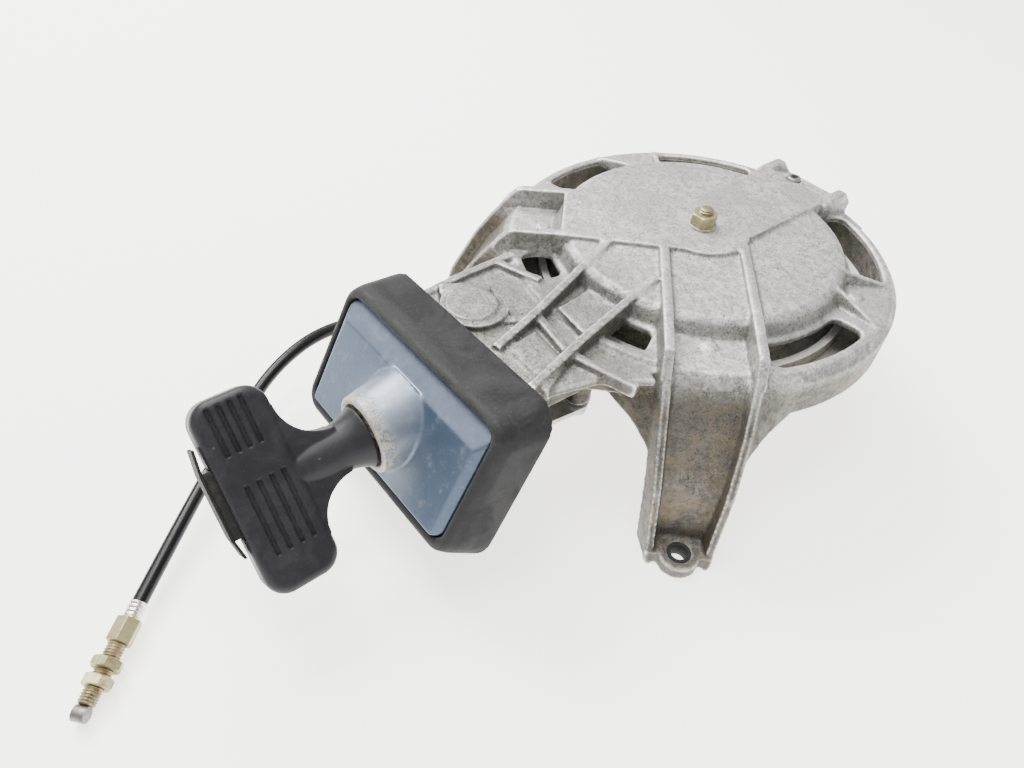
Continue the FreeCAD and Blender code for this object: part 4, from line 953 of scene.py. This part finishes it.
@dataclass
class PullHandle:
    """The moulded grip with its anchor block and plate."""

    body: str = "handle"

    def build(self, finishes: Finishes) -> list[bpy.types.Object]:
        """Draw the grip and dress the anchor.

        Args:
            finishes: The starter's finishes.

        Returns:
            The pieces made.
        """
        grip = skin_over(("handle_grip",), "moulded_grip", Grade.MOULDED)
        finishes.put(grip, "grip_rubber")
        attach(grip, self.body)
        for node in ("anchor_block", "anchor_plate"):
            finishes.dress_node(node)
            soften(node, 0.35 * MM)
        return [grip]


@dataclass
class StarterRope:
    """The rope: its run to the grip is braided as one straight length along the run's box."""

    radius: float = 2.75 * MM
    strands: int = 8
    lay_long: float = 13 * MM
    around: int = 48
    ring_step: float = 0.6 * MM

    def weave(self, turn: float, along: float) -> float:
        """Height of the braid's surface.

        Args:
            turn: Bearing round the rope, in radians.
            along: Distance along it.

        Returns:
            How far the surface lies inside the rope's radius, as a negative length.
        """
        wind = 2 * math.pi * along / self.lay_long
        right = math.cos(self.strands / 2 * (turn + wind))
        left = math.cos(self.strands / 2 * (turn - wind))
        return -0.32 * MM * (1 - max(right * abs(right), left * abs(left)))

    def build(self, finishes: Finishes) -> list[bpy.types.Object]:
        """Braid the run, and dress the rope's other lengths.

        Args:
            finishes: The starter's finishes.

        Returns:
            The pieces made.
        """
        low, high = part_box("rope_run")
        middle = (low + high) / 2
        start = Vector((middle.x, high.y, middle.z))
        place = turned_frame(start, Vector((0, -1, 0)))
        count = round((high.y - low.y) / self.ring_step)
        profile = [(self.radius, (high.y - low.y) * k / count) for k in range(count + 1)]
        run = lathe("rope_to_grip", place, profile, self.around, self.weave)
        finishes.put(run, "rope_nylon")
        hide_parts("rope_run")
        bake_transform(run)
        for node in ("rope_lead", "rope_winding", "rope_knot"):
            finishes.dress_node(node)
        return [run]


@dataclass
class Mechanism:
    """The drum, the springs, the pawls, the roller and the interlock lever under the casting."""

    sharp: tuple[str, ...] = ("drum", "spring_cover", "pawl_pin_left", "pawl_pin_right", "drive_pawl_left",
                              "drive_pawl_right", "friction_plate", "guide_roller", "stop_lever")
    soft: tuple[str, ...] = ("recoil_spring", "pawl_spring_left", "pawl_spring_right", "friction_spring",
                             "inner_wire", "cable_gland")

    def build(self, finishes: Finishes) -> list[bpy.types.Object]:
        """Dress every part.

        Args:
            finishes: The starter's finishes.

        Returns:
            The pieces made, none here.
        """
        for node in self.sharp:
            finishes.dress_node(node)
            soften(node, 0.3 * MM)
        for node in self.soft:
            finishes.dress_node(node)
        return []


@dataclass
class InterlockCable:
    """The free cable from the gland on the neck to its threaded end fitting."""

    radius: float = 3.5 * MM
    route: tuple[tuple[float, float, float], ...] = (
        (-0.0580, -0.1540, 0.0520),
        (-0.0900, -0.1570, 0.0490),
        (-0.1120, -0.1820, 0.0360),
        (-0.1100, -0.2130, 0.0260),
        (-0.0920, -0.2420, 0.0195),
        (-0.0576, -0.2847, 0.0141),
        (-0.0225, -0.3245, 0.0095),
    )
    length: float = 0.2403
    turn: float = math.radians(-48.5)
    pitch: float = math.radians(5)
    fittings: list[bpy.types.Object] = field(default_factory=list)

    @property
    def along(self) -> Vector:
        """The way that the cable's end points."""
        level = math.cos(self.pitch)
        return Vector((level * math.cos(self.turn), level * math.sin(self.turn), -math.sin(self.pitch)))

    def sheath(self, finishes: Finishes) -> bpy.types.Object:
        """The cable's outer, as one smooth spline.

        Args:
            finishes: The starter's finishes.

        Returns:
            The cable.
        """
        curve = bpy.data.curves.new("interlock_cable", "CURVE")
        curve.dimensions = "3D"
        curve.resolution_u = 24
        curve.bevel_depth = self.radius
        curve.bevel_resolution = 8
        curve.use_fill_caps = True
        spline = curve.splines.new("NURBS")
        spline.points.add(len(self.route) - 1)
        for point, spot in zip(spline.points, self.route):
            point.co = (*spot, 1.0)
        spline.order_u = 3
        spline.use_endpoint_u = True
        cable = bpy.data.objects.new("interlock_cable", curve)
        bpy.context.scene.collection.objects.link(cable)
        finishes.put(cable, "cable_sheath")
        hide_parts("cable_outer")
        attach(cable, "case")
        return cable

    def ferrule(self, finishes: Finishes) -> bpy.types.Object:
        """The tin ferrule, rolled into ridges and pressed into light flats.

        Args:
            finishes: The starter's finishes.

        Returns:
            The ferrule.
        """
        long = 8 * MM
        steps = 64
        profile = [(3.55 * MM, 0.0)]
        for k in range(steps + 1):
            height = long * k / steps
            ridge = 0.5 + 0.5 * math.cos(2 * math.pi * (height - 0.9 * MM) / (1.9 * MM))
            profile.append(((3.72 + 0.46 * ridge ** 1.5) * MM, height))
        profile.append((3.5 * MM, long))
        place = turned_frame(Vector(self.route[-1]), self.along)
        ferrule = lathe("crimped_ferrule", place, profile, 56,
                        lambda turn, _: -0.09 * MM * (1 - math.cos(6 * turn)))
        finishes.put(ferrule, "crimped_tin")
        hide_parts("cable_ferrule")
        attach(ferrule, "case")
        return ferrule

    def sleeve(self, finishes: Finishes) -> bpy.types.Object:
        """The threaded sleeve, with its bore for the wire.

        Args:
            finishes: The starter's finishes.

        Returns:
            The sleeve.
        """
        start = 18.8 * MM
        end = start + 26.2 * MM
        bore = 1.3 * MM
        place = turned_frame(Vector(self.route[-1]), self.along)
        thread = Thread(4.0 * MM)
        rows = thread.rows(place, start, end)
        for height in (end, end - 6 * MM):
            rows.append([place @ Vector((bore * math.cos(2 * math.pi * i / thread.around),
                                         bore * math.sin(2 * math.pi * i / thread.around), height))
                         for i in range(thread.around)])
        points, faces = wall_of_rows(rows, True)
        sleeve = piece_from("thread_sleeve", points, faces)
        finishes.put(sleeve, "browned_thread")
        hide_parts("threaded_sleeve")
        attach(sleeve, "case")
        return sleeve

    def build(self, finishes: Finishes) -> list[bpy.types.Object]:
        """Lay the cable and put its end fitting on.

        Args:
            finishes: The starter's finishes.

        Returns:
            The pieces made.
        """
        cable = self.sheath(finishes)
        ferrule = self.ferrule(finishes)
        sleeve = self.sleeve(finishes)
        for node in ("hex_coupler", "jam_nuts", "wire_nipple"):
            finishes.dress_node(node)
            soften(node, 0.3 * MM)
        carried = ("hex_coupler", "jam_nuts", "wire_nipple")
        self.fittings = [ferrule, sleeve] + [frame["nodes"][node] for node in carried]
        return [cable, ferrule, sleeve]


@dataclass
class Studio:
    """The pale floor, the soft light and the camera."""

    floor_wide: float = 8.0
    floor_glow: float = 2.3
    sky_low: float = 0.22
    sky_high: float = 1.25
    lamp_aim: Vector = field(default_factory=lambda: Vector((0, -0.08, 0.05)))
    camera_at: Vector = field(default_factory=lambda: Vector((0.20305, -0.31530, 0.32685)))
    bearing: float = math.radians(47.8)
    down: float = math.radians(44.8)
    roll: float = math.radians(4.8)
    lens: float = 26.49

    def camera(self) -> None:
        """Set the camera up."""
        data = bpy.data.cameras.new("camera")
        data.lens = self.lens
        data.sensor_width = 36.0
        data.clip_start = 0.01
        data.clip_end = 50.0
        back = Vector((math.sin(self.bearing) * math.cos(self.down),
                       -math.cos(self.bearing) * math.cos(self.down),
                       math.sin(self.down)))
        right = Vector((math.cos(self.bearing), math.sin(self.bearing), 0))
        up = back.cross(right)
        rolled_right = math.cos(self.roll) * right + math.sin(self.roll) * up
        rolled_up = math.cos(self.roll) * up - math.sin(self.roll) * right
        camera = bpy.data.objects.new("camera", data)
        turned = Matrix((rolled_right, rolled_up, back)).transposed().to_4x4()
        camera.matrix_world = Matrix.Translation(self.camera_at) @ turned
        bpy.context.scene.collection.objects.link(camera)
        bpy.context.scene.camera = camera

    def floor(self) -> None:
        """Lay the floor."""
        half = self.floor_wide / 2
        floor = piece_from("floor", [(-half, -half, 0), (half, -half, 0), (half, half, 0), (-half, half, 0)],
                           [(0, 1, 2, 3)])
        box = Paintbox("pale_floor")
        tone = box.noise(3, 3, 0.5)
        colour = box.mix(tone, (0.86, 0.85, 0.83), (0.89, 0.88, 0.865))
        box.shader.inputs["Emission Color"].default_value = (1.0, 0.98, 0.955, 1.0)
        box.shader.inputs["Emission Strength"].default_value = self.floor_glow
        floor.data.materials.append(box.finish(colour, 0.75, None, 0.0, 0.0, 0.2, 0.2))

    def lamp(self, name: str, spot: Sequence[float], size: float, power: float, tint: Colour) -> None:
        """Hang one soft lamp that looks at the part.

        Args:
            name: The lamp's name.
            spot: Where it hangs.
            size: Its width.
            power: Its power in watts.
            tint: Its colour.
        """
        data = bpy.data.lights.new(name, "AREA")
        data.shape = "DISK"
        data.size = size
        data.energy = power
        data.color = tint
        lamp = bpy.data.objects.new(name, data)
        lamp.location = spot
        lamp.rotation_mode = "QUATERNION"
        lamp.rotation_quaternion = (Vector(spot) - self.lamp_aim).to_track_quat("Z", "Y")
        bpy.context.scene.collection.objects.link(lamp)

    def build(self) -> None:
        """Set up the camera, the floor, the world's light and the lamps."""
        self.camera()
        self.floor()
        world = bpy.data.worlds.new("studio")
        world.use_nodes = True
        tree = world.node_tree
        sky = tree.nodes["Background"]
        sky.inputs["Color"].default_value = (1.0, 0.99, 0.975, 1.0)
        split = tree.nodes.new("ShaderNodeSeparateXYZ")
        tree.links.new(tree.nodes.new("ShaderNodeTexCoord").outputs["Generated"], split.inputs[0])
        rise = tree.nodes.new("ShaderNodeMapRange")
        rise.inputs["From Min"].default_value = 0.1
        rise.inputs["From Max"].default_value = 0.95
        rise.inputs["To Min"].default_value = self.sky_low
        rise.inputs["To Max"].default_value = self.sky_high
        tree.links.new(split.outputs["Z"], rise.inputs["Value"])
        tree.links.new(rise.outputs["Result"], sky.inputs["Strength"])
        bpy.context.scene.world = world
        self.lamp("key", (-1.2, -0.1, 1.35), 0.9, 62, (1.0, 0.985, 0.96))
        self.lamp("overhead", (-0.25, -0.2, 1.6), 0.8, 24, (1.0, 0.995, 0.985))


def main() -> None:
    """Build the starter's looks in order."""
    logging.basicConfig(level=logging.INFO, format="%(message)s")
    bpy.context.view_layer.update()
    Studio().build()
    boss_low, boss_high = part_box("rope_run")
    mouth = Vector(((boss_low.x + boss_high.x) / 2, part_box("face_plate")[0].y,
                    (boss_low.z + boss_high.z) / 2))
    finishes = Finishes(mouth)
    for assembly in (InterlockCable(), CastCase(), CentreBolt(), FacePlate(), PullHandle(), StarterRope(),
                     Mechanism()):
        for piece in assembly.build(finishes):
            LOG.info("%s: %s", type(assembly).__name__, piece.name)


if __name__ == "__main__":
    main()
